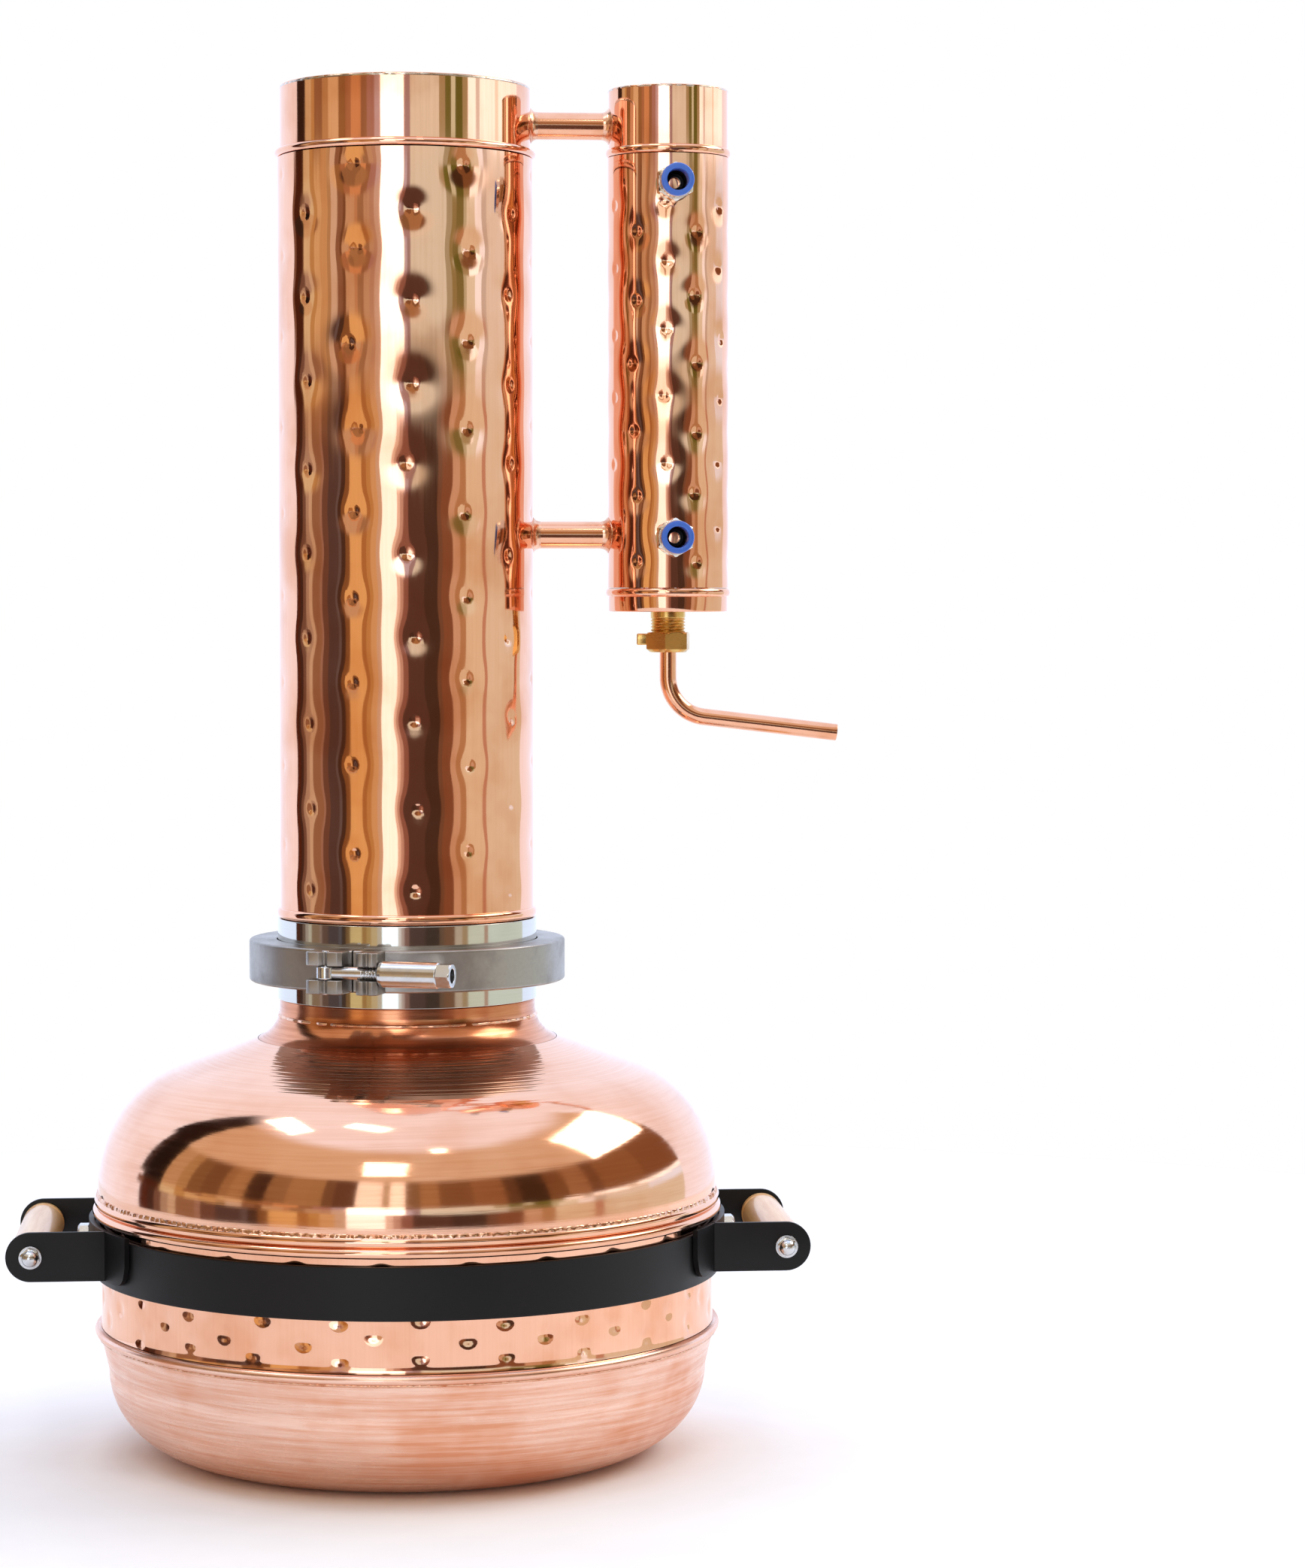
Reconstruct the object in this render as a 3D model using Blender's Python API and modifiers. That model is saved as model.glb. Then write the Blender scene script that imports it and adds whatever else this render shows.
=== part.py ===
"""Copper column still: pot, clamp union, column, bridges, condenser, outlet and carrying frame.

Units are metres, +Z is up. The origin is the centre of the pot's flat base. The column stands on the origin's
axis, the condenser stands on the +X side and the water ports face -Y.
"""

import math

import bmesh
import bpy
from mathutils import Matrix, Vector

MM = 0.001
GAP = 0.3 * MM                     # kept between two pieces that touch
RUNNING = 0.3 * MM                 # radial clearance round a shaft or a tube

# Smoothness of round pieces, in flats round the circle
LARGE_FLATS = 40
MEDIUM_FLATS = 24
GRIP_FLATS = 16
SMALL_FLATS = 12
TUBE_FLATS = 8
BEAD_STEPS = 2
CURVE_STEPS = 4
BEND_STEPS = 6

PAST = 10.0 * MM                   # a cutter runs this far past what it cuts

# Pot
SHEET = 1.5 * MM                   # copper sheet of the pot, column and condenser
POT_RADIUS = 180.7 * MM            # outside of the belt
BASE_INSET = 60.7 * MM             # the flat base's edge lies this far inside the belt
BOWL_HEIGHT = 77.0 * MM            # base to the top of the bowl's bead
BOWL_CORNER = 50.0 * MM            # height of the rounded corner
BOWL_DRAFT = 4.7 * MM              # the wall's foot lies this far inside the belt
BEAD_OUT = 3.3 * MM                # beads stand this far out of the pot's wall
UPPER_BEAD_OUT = 2.1 * MM          # the dome's second bead stands out less
BEAD_HEIGHT = 6.0 * MM
BELT_HEIGHT = 63.4 * MM
DOME_SKIRT = 16.0 * MM             # upright part of the dome above the belt
DOME_OUT = 1.3 * MM                # the skirt stands this far outside the belt
SHOULDER_RUN = 66.0 * MM           # shoulder's half axes, across and up
SHOULDER_RISE = 72.5 * MM
DECK_SLOPE = 0.364                 # rise over run of the dome's upper cone
FLARE_RADIUS = 20.0 * MM           # hollow curve from the cone to the neck
NECK_STEP = 1.2 * MM               # the neck lies this far inside the ferrule's outside
NECK_HEIGHT = 4.5 * MM

# Clamp union
FERRULE_RADIUS = 76.2 * MM
FERRULE_WALL = 2.0 * MM
FLANGE_OUT = 7.3 * MM              # the flange stands this far out of the ferrule
FLANGE_EDGE = 3.0 * MM             # upright edge of the flange
FLANGE_CONE = 2.7 * MM             # height of the sloping side
POT_FERRULE_HEIGHT = 21.6 * MM
COLUMN_FERRULE_HEIGHT = 23.2 * MM
GASKET_THICKNESS = 2.0 * MM
GASKET_LIP = 2.2 * MM              # the gasket reaches this far inside the ferrule's bore
GASKET_INSET = 1.0 * MM            # the gasket stops this far inside the flange's edge
SIEVE_THICKNESS = 1.5 * MM
SIEVE_HOLE = 4.0 * MM
SIEVE_HOLE_FLATS = 6
SIEVE_RINGS = ((0.0, 1), (0.36, 6), (0.72, 12))    # rings of holes: share of the plate's radius, number

CLAMP_WALL = 9.3 * MM              # flange's edge to the clamp's outside
CLAMP_HEIGHT = 24.2 * MM
CLAMP_CHAMFER = 1.2 * MM
CLAMP_FIT = 0.6 * MM               # room between the clamp's groove and the ferrules
CLAMP_TURN = math.radians(-21.3)   # the closure stands this far left of the front
SPLIT_GAP = 1.0 * MM
ROOT_DEPTH = 5.0 * MM              # forks and leaves start this far inside the clamp's outside
FORK_DEPTH = 5.0 * MM              # the forks reach this far beyond the bolt's axis
HOOK_FORK = (-24.0 * MM, -2.0 * MM)
BEARING_FORK = (6.0 * MM, 19.0 * MM)
NUT_CLEARANCE = 0.7 * MM           # clamp's outside to the barrel nut
BOLT_RADIUS = 3.7 * MM
BOLT_EYE_X = -13.0 * MM
BOLT_EYE_WALL = 3.4 * MM           # the eye's wall round its pin
BOLT_PIN_RADIUS = 2.0 * MM
NUT_GAP = 0.8 * MM                 # lets the nut swing clear of the forks
NUT_RADIUS = 7.5 * MM
NUT_BARREL = 35.0 * MM
NUT_HEXAGON = 8.0 * MM
NUT_OVERLAP = 2.0 * MM             # the hexagon reaches this far into the barrel
HINGE_PIN_END = 1.0 * MM           # the pins stand this far out of the clamp
BOLT_PIN_END = 0.5 * MM
NUT_ACROSS = 13.0 * MM
KNUCKLE_CLEARANCE = 0.8 * MM       # clamp's outside to the knuckles
HINGE_RADIUS = 5.4 * MM
HINGE_PIN_RADIUS = 2.5 * MM
HINGE_MIDDLE = 8.0 * MM            # height of the middle knuckle
HINGE_LEAF = 14.0 * MM             # the leaves reach this far round the clamp

# Column
COLUMN_STEP = 1.5 * MM             # the shell lies this far inside the ferrule's outside
COLUMN_HEIGHT = 443.4 * MM
COLUMN_BEAD = 1.8 * MM
CAP_STEP = 1.4 * MM                # the cap band lies this far inside the shell's outside
CAP_HEIGHT = 39.7 * MM
CAP_BEAD_HEIGHT = 5.0 * MM
LID_THICKNESS = 1.5 * MM

# Condenser and bridges
BRIDGE_SPAN = 44.1 * MM            # column's outside to the condenser's
CONDENSER_RADIUS = 35.7 * MM
CONDENSER_STEP = 0.5 * MM
CONDENSER_BEAD = 1.2 * MM
TOP_CAP_HEIGHT = 39.5 * MM
JACKET_LENGTH = 252.0 * MM
BOTTOM_CAP_HEIGHT = 13.8 * MM
PLATE_THICKNESS = 2.0 * MM
PLATE_INSET = 3.0 * MM             # tube plates lie this far inside the jacket's ends
TUBE_RADIUS = 5.0 * MM
TUBE_WALL = 1.0 * MM
TUBE_CLEARANCE = 9.2 * MM          # jacket's inside to the ring of tubes
TUBE_STANDOUT = 4.0 * MM           # the tubes stand this far out of the plates
BRIDGE_RADIUS = 8.0 * MM
BRIDGE_WALL = 1.0 * MM
BRIDGE_REACH = 2.0 * MM            # the vapour pipe reaches this far into both caps
VAPOUR_DROP = 21.3 * MM            # lid top down to the vapour pipe's axis
BRACE_RISE = 31.0 * MM             # jacket's lower end up to the brace's axis
COLLAR_OUT = 2.6 * MM
COLLAR_LENGTH = 4.5 * MM

# Water ports
PORT_INSET = 18.0 * MM             # upper port below the jacket's top
LOWER_PORT_RISE = 29.0 * MM
PORT_HEXAGON = 12.0 * MM
PORT_NOSE = 8.0 * MM
PORT_FLOOR = 2.0 * MM              # floor of the hose's socket
PORT_NOSE_WALL = 1.9 * MM          # round the sleeve's counterbore
PORT_NOSE_STEP = 0.4 * MM          # nose to the hexagon's flats
PORT_STANDOFF = 1.0 * MM           # jacket's outside to the hexagon
SPIGOT_RADIUS = 5.0 * MM
SPIGOT_BORE = 3.2 * MM
SPIGOT_INSIDE = 1.0 * MM           # the spigot reaches this far inside the jacket
HOSE_RADIUS = 6.0 * MM
SOCKET_FIT = 0.2 * MM
SLEEVE_WALL = 1.2 * MM
SLEEVE_DEPTH = 9.0 * MM
COLLET_OUT = 3.5 * MM              # hose's outside to the collet's rim
COLLET_FLANGE = 3.4 * MM
COLLET_CHAMFER = 1.0 * MM
COLLET_TRAVEL = 1.5 * MM
SEAL_THICKNESS = 1.8 * MM

# Outlet
NIPPLE_WALL = 5.0 * MM
NIPPLE_VISIBLE = 12.2 * MM
NIPPLE_THREAD = 5.0 * MM           # part of the nipple inside the nut
NIPPLE_INSIDE = 3.0 * MM           # part of the nipple inside the bottom cap
NIPPLE_SHOULDER = 2.0 * MM         # its shoulder stands this far out
OUTLET_NUT_WALL = 1.4 * MM         # between the nut's thread and its flats
OUTLET_NUT_HEIGHT = 11.8 * MM
OUTLET_NUT_TURN = math.radians(18)
NUT_FLOOR = 3.0 * MM
NUT_LUG = 5.0 * MM                 # the lug stands this far out of the nut's corners
LUG_HALF_WIDTH = 2.5 * MM
LUG_HEIGHTS = (7.5 * MM, 0.8 * MM)  # the lug's foot and top below the nut's top
LUG_ROOT = 0.6 * MM                # left between the lug and the thread
OLIVE_EDGE = 1.2 * MM              # thickness of the ring's edges and of its middle
OLIVE_MIDDLE = 2.4 * MM
SPOUT_RADIUS = 5.0 * MM
SPOUT_WALL = 1.0 * MM
SPOUT_INSERT = 8.0 * MM            # the spout reaches this far into the nipple
SPOUT_DROP = 14.5 * MM             # nut's foot to the start of the bend
SPOUT_BEND = 24.0 * MM
SPOUT_FALL = math.radians(6.8)     # the spout's run falls this much
SPOUT_RUN = 80.0 * MM

# Carrying frame
STRAP = 3.0 * MM
HOOP_DROP = 3.9 * MM               # belt's top down to the hoop's top
HOOP_HEIGHT = 29.8 * MM
SADDLE_HEIGHT = 28.5 * MM
SADDLE_RISE = 4.5 * MM             # the saddle's lower edge above the hoop's
SADDLE_ANGLE = math.radians(29.5)
ARM_HALF_SPACING = 64.0 * MM
HANDLE_REACH = 30.3 * MM           # saddle's outside to the grip's axis
GRIP_RADIUS = 12.3 * MM
GRIP_GROOVE = 9.0 * MM             # end of the grip to its groove
GROOVE_DEPTH = 1.2 * MM
GROOVE_HALF = 1.4 * MM             # half the groove's width
GRIP_ROUND = 2.5 * MM              # chamfer of the grip's ends
ROD_RADIUS = 3.0 * MM
GRIP_NUT_WALL = 3.6 * MM
WASHER_OUT = 1.4 * MM              # the washer stands this far out of the dome
WASHER_THICKNESS = 1.6 * MM
GRIP_NUT_HEIGHT = 8.0 * MM
GRIP_NUT_SOCKET = 4.5 * MM
HOOP_BOLT_RADIUS = 5.0 * MM
HOOP_BOLT_ACROSS = 17.0 * MM
HOOP_BOLT_HEAD = 6.4 * MM

# Sizes and heights that follow from the sizes above
BASE_RADIUS = POT_RADIUS - BASE_INSET
NECK_RADIUS = FERRULE_RADIUS - NECK_STEP
FLANGE_RADIUS = FERRULE_RADIUS + FLANGE_OUT
CLAMP_RADIUS = FLANGE_RADIUS + CLAMP_WALL
FORK_SLOT = 2 * (BOLT_RADIUS + RUNNING)        # height of the slot that takes the bolt
BOLT_EYE_RADIUS = BOLT_PIN_RADIUS + BOLT_EYE_WALL
COLUMN_RADIUS = FERRULE_RADIUS - COLUMN_STEP
CONDENSER_X = COLUMN_RADIUS + BRIDGE_SPAN + CONDENSER_RADIUS
TUBE_RING = CONDENSER_RADIUS - SHEET - TUBE_CLEARANCE - TUBE_RADIUS
SOCKET_RADIUS = HOSE_RADIUS + SOCKET_FIT
SLEEVE_RADIUS = SOCKET_RADIUS + SLEEVE_WALL
COUNTERBORE_RADIUS = SLEEVE_RADIUS + RUNNING
PORT_NOSE_RADIUS = COUNTERBORE_RADIUS + PORT_NOSE_WALL
PORT_ACROSS = 2 * (PORT_NOSE_RADIUS + PORT_NOSE_STEP)
COLLET_RADIUS = HOSE_RADIUS + COLLET_OUT
NIPPLE_RADIUS = SPOUT_RADIUS + RUNNING + NIPPLE_WALL
OUTLET_NUT_ACROSS = 2 * (NIPPLE_RADIUS + RUNNING + OUTLET_NUT_WALL)
GRIP_NUT_RADIUS = ROD_RADIUS + GRIP_NUT_WALL

BELT_BOTTOM = BOWL_HEIGHT + GAP
BELT_TOP = BELT_BOTTOM + BELT_HEIGHT
DOME_BOTTOM = BELT_TOP + GAP
SHOULDER_Z = DOME_BOTTOM + DOME_SKIRT
DOME_RADIUS = POT_RADIUS + DOME_OUT


def shoulder_end(run, rise):
    """Point of the shoulder's ellipse, from its centre, where it runs into the deck's cone."""
    turn = math.atan2(rise, run * DECK_SLOPE)
    return run * math.cos(turn), rise * math.sin(turn), turn


def flare_centre(inset):
    """Centre of the hollow curve under the neck, for a surface this far inside the dome's outside."""
    run, rise, _ = shoulder_end(SHOULDER_RUN - inset, SHOULDER_RISE - inset)
    deck_r = DOME_RADIUS - SHOULDER_RUN + run
    deck_z = SHOULDER_Z + rise
    centre_r = NECK_RADIUS + FLARE_RADIUS
    flare = FLARE_RADIUS + inset
    cone_z = deck_z + (deck_r - centre_r) * DECK_SLOPE
    return centre_r, cone_z + flare * math.hypot(1.0, DECK_SLOPE)


DOME_TOP = flare_centre(0.0)[1] + NECK_HEIGHT
POT_FERRULE_BOTTOM = DOME_TOP + GAP
POT_FERRULE_TOP = POT_FERRULE_BOTTOM + POT_FERRULE_HEIGHT
GASKET_BOTTOM = POT_FERRULE_TOP + GAP
UNION_Z = GASKET_BOTTOM + GASKET_THICKNESS / 2
COLUMN_FERRULE_BOTTOM = GASKET_BOTTOM + GASKET_THICKNESS + GAP
COLUMN_FERRULE_TOP = COLUMN_FERRULE_BOTTOM + COLUMN_FERRULE_HEIGHT
SHELL_BOTTOM = COLUMN_FERRULE_TOP + GAP
SHELL_TOP = SHELL_BOTTOM + COLUMN_HEIGHT
CAP_BOTTOM = SHELL_TOP + GAP
CAP_TOP = CAP_BOTTOM + CAP_HEIGHT
LID_BOTTOM = CAP_TOP + GAP
LID_TOP = LID_BOTTOM + LID_THICKNESS
CAP_RADIUS = COLUMN_RADIUS - CAP_STEP

CONDENSER_TOP = LID_TOP
TOP_CAP_BOTTOM = CONDENSER_TOP - TOP_CAP_HEIGHT
JACKET_TOP = TOP_CAP_BOTTOM - GAP
JACKET_BOTTOM = JACKET_TOP - JACKET_LENGTH
BOTTOM_CAP_TOP = JACKET_BOTTOM - GAP
CONDENSER_BOTTOM = BOTTOM_CAP_TOP - BOTTOM_CAP_HEIGHT
HEADER_RADIUS = CONDENSER_RADIUS - CONDENSER_STEP
UPPER_PLATE_TOP = JACKET_TOP - PLATE_INSET
LOWER_PLATE_BOTTOM = JACKET_BOTTOM + PLATE_INSET
TUBE_TOP = UPPER_PLATE_TOP + TUBE_STANDOUT
TUBE_BOTTOM = LOWER_PLATE_BOTTOM - TUBE_STANDOUT
VAPOUR_Z = LID_TOP - VAPOUR_DROP
BRACE_Z = JACKET_BOTTOM + BRACE_RISE
UPPER_PORT_Z = JACKET_TOP - PORT_INSET
LOWER_PORT_Z = JACKET_BOTTOM + LOWER_PORT_RISE
OUTLET_NUT_TOP = CONDENSER_BOTTOM - NIPPLE_VISIBLE
OUTLET_NUT_BOTTOM = OUTLET_NUT_TOP - OUTLET_NUT_HEIGHT
NIPPLE_BOTTOM = OUTLET_NUT_TOP - NIPPLE_THREAD

BOLT_LINE = CLAMP_RADIUS + NUT_RADIUS + NUT_CLEARANCE
HINGE_LINE = CLAMP_RADIUS + HINGE_RADIUS + KNUCKLE_CLEARANCE
HOOP_BOTTOM = BELT_TOP - HOOP_DROP - HOOP_HEIGHT
HOOP_INNER = POT_RADIUS + GAP
HOOP_OUTER = HOOP_INNER + STRAP
SADDLE_INNER = HOOP_OUTER + GAP
SADDLE_OUTER = SADDLE_INNER + STRAP
SADDLE_Z = HOOP_BOTTOM + SADDLE_RISE + SADDLE_HEIGHT / 2
GRIP_X = SADDLE_OUTER + HANDLE_REACH
GRIP_HALF = ARM_HALF_SPACING - STRAP / 2 - GAP

# Directions that a turned piece's own +Z axis can be laid along
ALONG_MINUS_Y = Matrix.Rotation(math.radians(90), 4, "X")
ALONG_X = Matrix.Rotation(math.radians(90), 4, "Y")
UPRIGHT = Matrix.Identity(4)


def clear_scene():
    """Remove every object, so that the still is built in an empty scene."""
    for item in list(bpy.data.objects):
        bpy.data.objects.remove(item, do_unlink=True)


def new_collection(name):
    """Add a collection to the scene."""
    collection = bpy.data.collections.new(name)
    bpy.context.scene.collection.children.link(collection)
    return collection


def metal(name, colour, roughness, metallic=1.0):
    """Make a Principled material from a linear colour, a roughness and a metallic value."""
    material = bpy.data.materials.new(name)
    material.use_nodes = True
    shader = material.node_tree.nodes["Principled BSDF"]
    shader.inputs["Base Color"].default_value = (*colour, 1.0)
    shader.inputs["Metallic"].default_value = metallic
    shader.inputs["Roughness"].default_value = roughness
    return material


clear_scene()
STILL = new_collection("column_still")
CUTTERS = new_collection("cutters")

POLISHED_COPPER = metal("polished_copper", (0.80, 0.36, 0.21), 0.12)
BRUSHED_COPPER = metal("brushed_copper", (0.78, 0.42, 0.28), 0.38)
STAINLESS = metal("polished_stainless", (0.62, 0.62, 0.60), 0.12)
CAST_STAINLESS = metal("cast_stainless", (0.32, 0.31, 0.30), 0.42)
BRASS = metal("brass", (0.70, 0.47, 0.20), 0.28)
NICKEL = metal("nickel", (0.66, 0.64, 0.60), 0.18)
BLACK_STEEL = metal("black_steel", (0.03, 0.03, 0.032), 0.45, 0.0)
ZINC = metal("zinc_steel", (0.62, 0.62, 0.63), 0.25)
BEECH = metal("beech", (0.78, 0.52, 0.24), 0.40, 0.0)
BLUE_PLASTIC = metal("blue_plastic", (0.10, 0.26, 0.80), 0.35, 0.0)
SILICONE = metal("silicone_rubber", (0.70, 0.70, 0.68), 0.60, 0.0)
BLACK_RUBBER = metal("black_rubber", (0.02, 0.02, 0.02), 0.55, 0.0)


def add_object(name, mesh, material, placement=UPRIGHT):
    """Put a mesh in the still's collection at a placement."""
    item = bpy.data.objects.new(name, mesh)
    mesh.materials.append(material)
    item.matrix_world = placement
    STILL.objects.link(item)
    return item


def arc(centre_r, centre_z, run, rise, start, end, steps):
    """Points of an elliptic arc between two angles in radians, both ends included."""
    turns = [start + (end - start) * i / steps for i in range(steps + 1)]
    return [(centre_r + run * math.cos(t), centre_z + rise * math.sin(t)) for t in turns]


def bead_points(radius, middle, out, half):
    """Half-round bead on the outside of a tube, from its upper edge down to its lower edge."""
    return arc(radius, middle, out, half, math.radians(90), math.radians(-90), BEAD_STEPS)


def turned(name, profile, material, flats=LARGE_FLATS, placement=UPRIGHT):
    """Turn a profile of (radius, height) points round the piece's own Z axis.

    The profile runs down the outer side. It is a closed loop, or it starts and ends on the axis.
    """
    on_axis = profile[0][0] == 0.0
    count = len(profile)
    edges = [(i, i + 1) for i in range(count - 1)]
    if not on_axis:
        edges.append((count - 1, 0))
    mesh = bpy.data.meshes.new(name)
    mesh.from_pydata([(r, 0.0, z) for r, z in profile], edges, [])
    item = add_object(name, mesh, material, placement)
    screw = item.modifiers.new("turn", "SCREW")
    screw.axis = "Z"
    screw.steps = flats
    screw.render_steps = flats
    screw.use_merge_vertices = True
    screw.merge_threshold = 0.01 * MM
    return item


def ring(inner, outer, bottom, top):
    """Closed profile of a plain ring."""
    return [(outer, top), (outer, bottom), (inner, bottom), (inner, top)]


def disc(radius, bottom, top):
    """Profile of a plain solid disc, from axis to axis."""
    return [(0.0, top), (radius, top), (radius, bottom), (0.0, bottom)]


def prism(radius, length, sides):
    """Mesh of a solid prism or cylinder whose foot lies at height 0."""
    shape = bmesh.new()
    bmesh.ops.create_cone(shape, cap_ends=True, segments=sides, radius1=radius, radius2=radius, depth=length)
    bmesh.ops.translate(shape, vec=(0.0, 0.0, length / 2), verts=shape.verts)
    mesh = bpy.data.meshes.new("prism")
    shape.to_mesh(mesh)
    shape.free()
    return mesh


def block(low, high):
    """Mesh of a box between two corners."""
    shape = bmesh.new()
    bmesh.ops.create_cube(shape, size=1.0)
    size = Vector(high) - Vector(low)
    bmesh.ops.scale(shape, vec=size, verts=shape.verts)
    bmesh.ops.translate(shape, vec=(Vector(high) + Vector(low)) / 2, verts=shape.verts)
    mesh = bpy.data.meshes.new("block")
    shape.to_mesh(mesh)
    shape.free()
    return mesh


def circle(x, y, radius, sides):
    """Outline of a circle about a point."""
    turns = [math.tau * k / sides for k in range(sides)]
    return [(x + radius * math.cos(t), y + radius * math.sin(t)) for t in turns]


def flat_plate(outlines, thickness):
    """Mesh of a flat plate in the XY plane, filled between its outline and the outlines of its holes."""
    curve = bpy.data.curves.new("plate", "CURVE")
    curve.dimensions = "2D"
    curve.fill_mode = "BOTH"
    curve.extrude = thickness / 2
    for outline in outlines:
        spline = curve.splines.new("POLY")
        spline.points.add(len(outline) - 1)
        for point, (x, y) in zip(spline.points, outline):
            point.co = (x, y, 0.0, 1.0)
        spline.use_cyclic_u = True
    mesh = mesh_of_curve(curve)
    shape = bmesh.new()
    shape.from_mesh(mesh)
    bmesh.ops.remove_doubles(shape, verts=shape.verts, dist=0.001 * MM)
    shape.to_mesh(mesh)
    shape.free()
    return mesh


def mesh_of_curve(curve):
    """Mesh of a curve as it is evaluated; the curve's own object is removed again."""
    guide = bpy.data.objects.new("guide", curve)
    CUTTERS.objects.link(guide)
    bpy.context.view_layer.update()
    mesh = bpy.data.meshes.new_from_object(guide.evaluated_get(bpy.context.evaluated_depsgraph_get()))
    bpy.data.objects.remove(guide, do_unlink=True)
    return mesh


def cutter(name, mesh, placement=UPRIGHT):
    """Put a mesh among the cutters, hidden from renders."""
    item = bpy.data.objects.new(name, mesh)
    item.matrix_world = placement
    item.hide_render = True
    item.display_type = "WIRE"
    CUTTERS.objects.link(item)
    return item


def combine(item, other, operation):
    """Add an exact Boolean of a cutter object to an item."""
    modifier = item.modifiers.new(other.name, "BOOLEAN")
    modifier.operation = operation
    modifier.object = other
    modifier.solver = "EXACT"


def at(x, y, z, turn=UPRIGHT):
    """Placement at a point, turned as given."""
    return Matrix.Translation((x, y, z)) @ turn


def hexagon_corner(across):
    """Corner radius of a hexagon from its size across the flats."""
    return across / 2 / math.cos(math.radians(30))


# ---------------------------------------------------------------- pot

def bowl_profile():
    """Bowl as a closed loop: inside of its corner, the beaded rim and the outside down to the base's seam."""
    wall_foot = POT_RADIUS - BOWL_DRAFT
    corner_run = wall_foot - BASE_RADIUS
    bead_bottom = BOWL_HEIGHT - BEAD_HEIGHT
    inner_corner = arc(BASE_RADIUS, BOWL_CORNER, corner_run - SHEET, BOWL_CORNER - SHEET,
                       math.radians(-90), 0.0, CURVE_STEPS)
    outer_corner = arc(BASE_RADIUS, BOWL_CORNER, corner_run, BOWL_CORNER, 0.0, math.radians(-90), CURVE_STEPS)
    bead = bead_points(POT_RADIUS, bead_bottom + BEAD_HEIGHT / 2, BEAD_OUT, BEAD_HEIGHT / 2)
    inner_top = [(POT_RADIUS - SHEET, bead_bottom), (POT_RADIUS - SHEET, BOWL_HEIGHT)]
    return [*inner_corner, *inner_top, *bead, *outer_corner]


def neck_surface(inset, held_back=0.0):
    """Hollow curve from the neck to the deck's cone, this far inside its outside, its end held back."""
    centre_r, centre_z = flare_centre(inset)
    flare = FLARE_RADIUS + inset
    end = math.radians(270) - math.atan(DECK_SLOPE) - held_back / FLARE_RADIUS
    return arc(centre_r, centre_z, flare, flare, math.radians(180), end, CURVE_STEPS)


def neck_profile():
    """Neck as a closed loop: its upright rim and the hollow flare down to the seam with the dome."""
    outside = [(NECK_RADIUS, DOME_TOP), *neck_surface(0.0, GAP)]
    inside = [(NECK_RADIUS - SHEET, DOME_TOP), *neck_surface(SHEET, GAP)]
    return [*outside, *reversed(inside)]


def dome_surface(inset):
    """Dome's points from its seam with the neck to the foot of the shoulder, this far inside its outside."""
    _, _, turn = shoulder_end(SHOULDER_RUN - inset, SHOULDER_RISE - inset)
    shoulder = arc(DOME_RADIUS - SHOULDER_RUN, SHOULDER_Z, SHOULDER_RUN - inset, SHOULDER_RISE - inset,
                   turn, 0.0, CURVE_STEPS)
    return [neck_surface(inset)[-1], *shoulder]


def dome_profile():
    """Dome as a closed loop: cone, shoulder, two beads and the inside."""
    bead = BEAD_HEIGHT / 2
    lower_bead = bead_points(DOME_RADIUS, DOME_BOTTOM + bead, BEAD_OUT, bead)
    upper_bead = bead_points(DOME_RADIUS, DOME_BOTTOM + 3 * bead, UPPER_BEAD_OUT, bead)[:-1]
    outside = [*dome_surface(0.0), *upper_bead, *lower_bead]
    inside = [*dome_surface(SHEET), (DOME_RADIUS - SHEET, DOME_BOTTOM)]
    return [*outside, *reversed(inside)]


def build_pot():
    """Base, bowl, belt, dome and neck of the boiler."""
    turned("pot_base", disc(BASE_RADIUS - GAP, 0.0, SHEET), BRUSHED_COPPER)
    turned("pot_bowl", bowl_profile(), BRUSHED_COPPER)
    turned("pot_belt", ring(POT_RADIUS - SHEET, POT_RADIUS, BELT_BOTTOM, BELT_TOP), POLISHED_COPPER)
    turned("pot_dome", dome_profile(), POLISHED_COPPER)
    turned("pot_neck", neck_profile(), POLISHED_COPPER)


# ---------------------------------------------------------------- clamp union

def ferrule_profile(face, rim):
    """Ferrule as a closed loop, with its flange at the face and its plain rim at the other end."""
    away = 1.0 if rim > face else -1.0
    bore = FERRULE_RADIUS - FERRULE_WALL
    edge = face + away * FLANGE_EDGE
    foot = edge + away * FLANGE_CONE
    loop = [(FERRULE_RADIUS, rim), (FERRULE_RADIUS, foot), (FLANGE_RADIUS, edge), (FLANGE_RADIUS, face),
            (bore, face), (bore, rim)]
    return loop if away > 0 else [loop[5], loop[4], loop[3], loop[2], loop[1], loop[0]]


def clamp_profile():
    """Clamp's V section round the two flanges, as a closed loop about the union's plane."""
    half = CLAMP_HEIGHT / 2
    stack = GASKET_THICKNESS / 2 + GAP + FLANGE_EDGE + CLAMP_FIT
    groove = FLANGE_RADIUS + CLAMP_FIT
    lip = FERRULE_RADIUS + CLAMP_FIT
    upper = [(lip, half), (CLAMP_RADIUS - CLAMP_CHAMFER, half), (CLAMP_RADIUS, half - CLAMP_CHAMFER)]
    lower = [(r, -z) for r, z in reversed(upper)]
    flank = [(lip, -stack - FLANGE_CONE), (groove, -stack), (groove, stack), (lip, stack + FLANGE_CONE)]
    return [*upper, *lower, *flank]


def clamp_place(x=0.0, y=0.0, z=0.0, turn=UPRIGHT):
    """Placement in the clamp's own frame, where the closure faces -Y and height 0 is the union's plane."""
    return Matrix.Rotation(CLAMP_TURN, 4, "Z") @ at(x, y, UNION_Z + z, turn)


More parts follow.
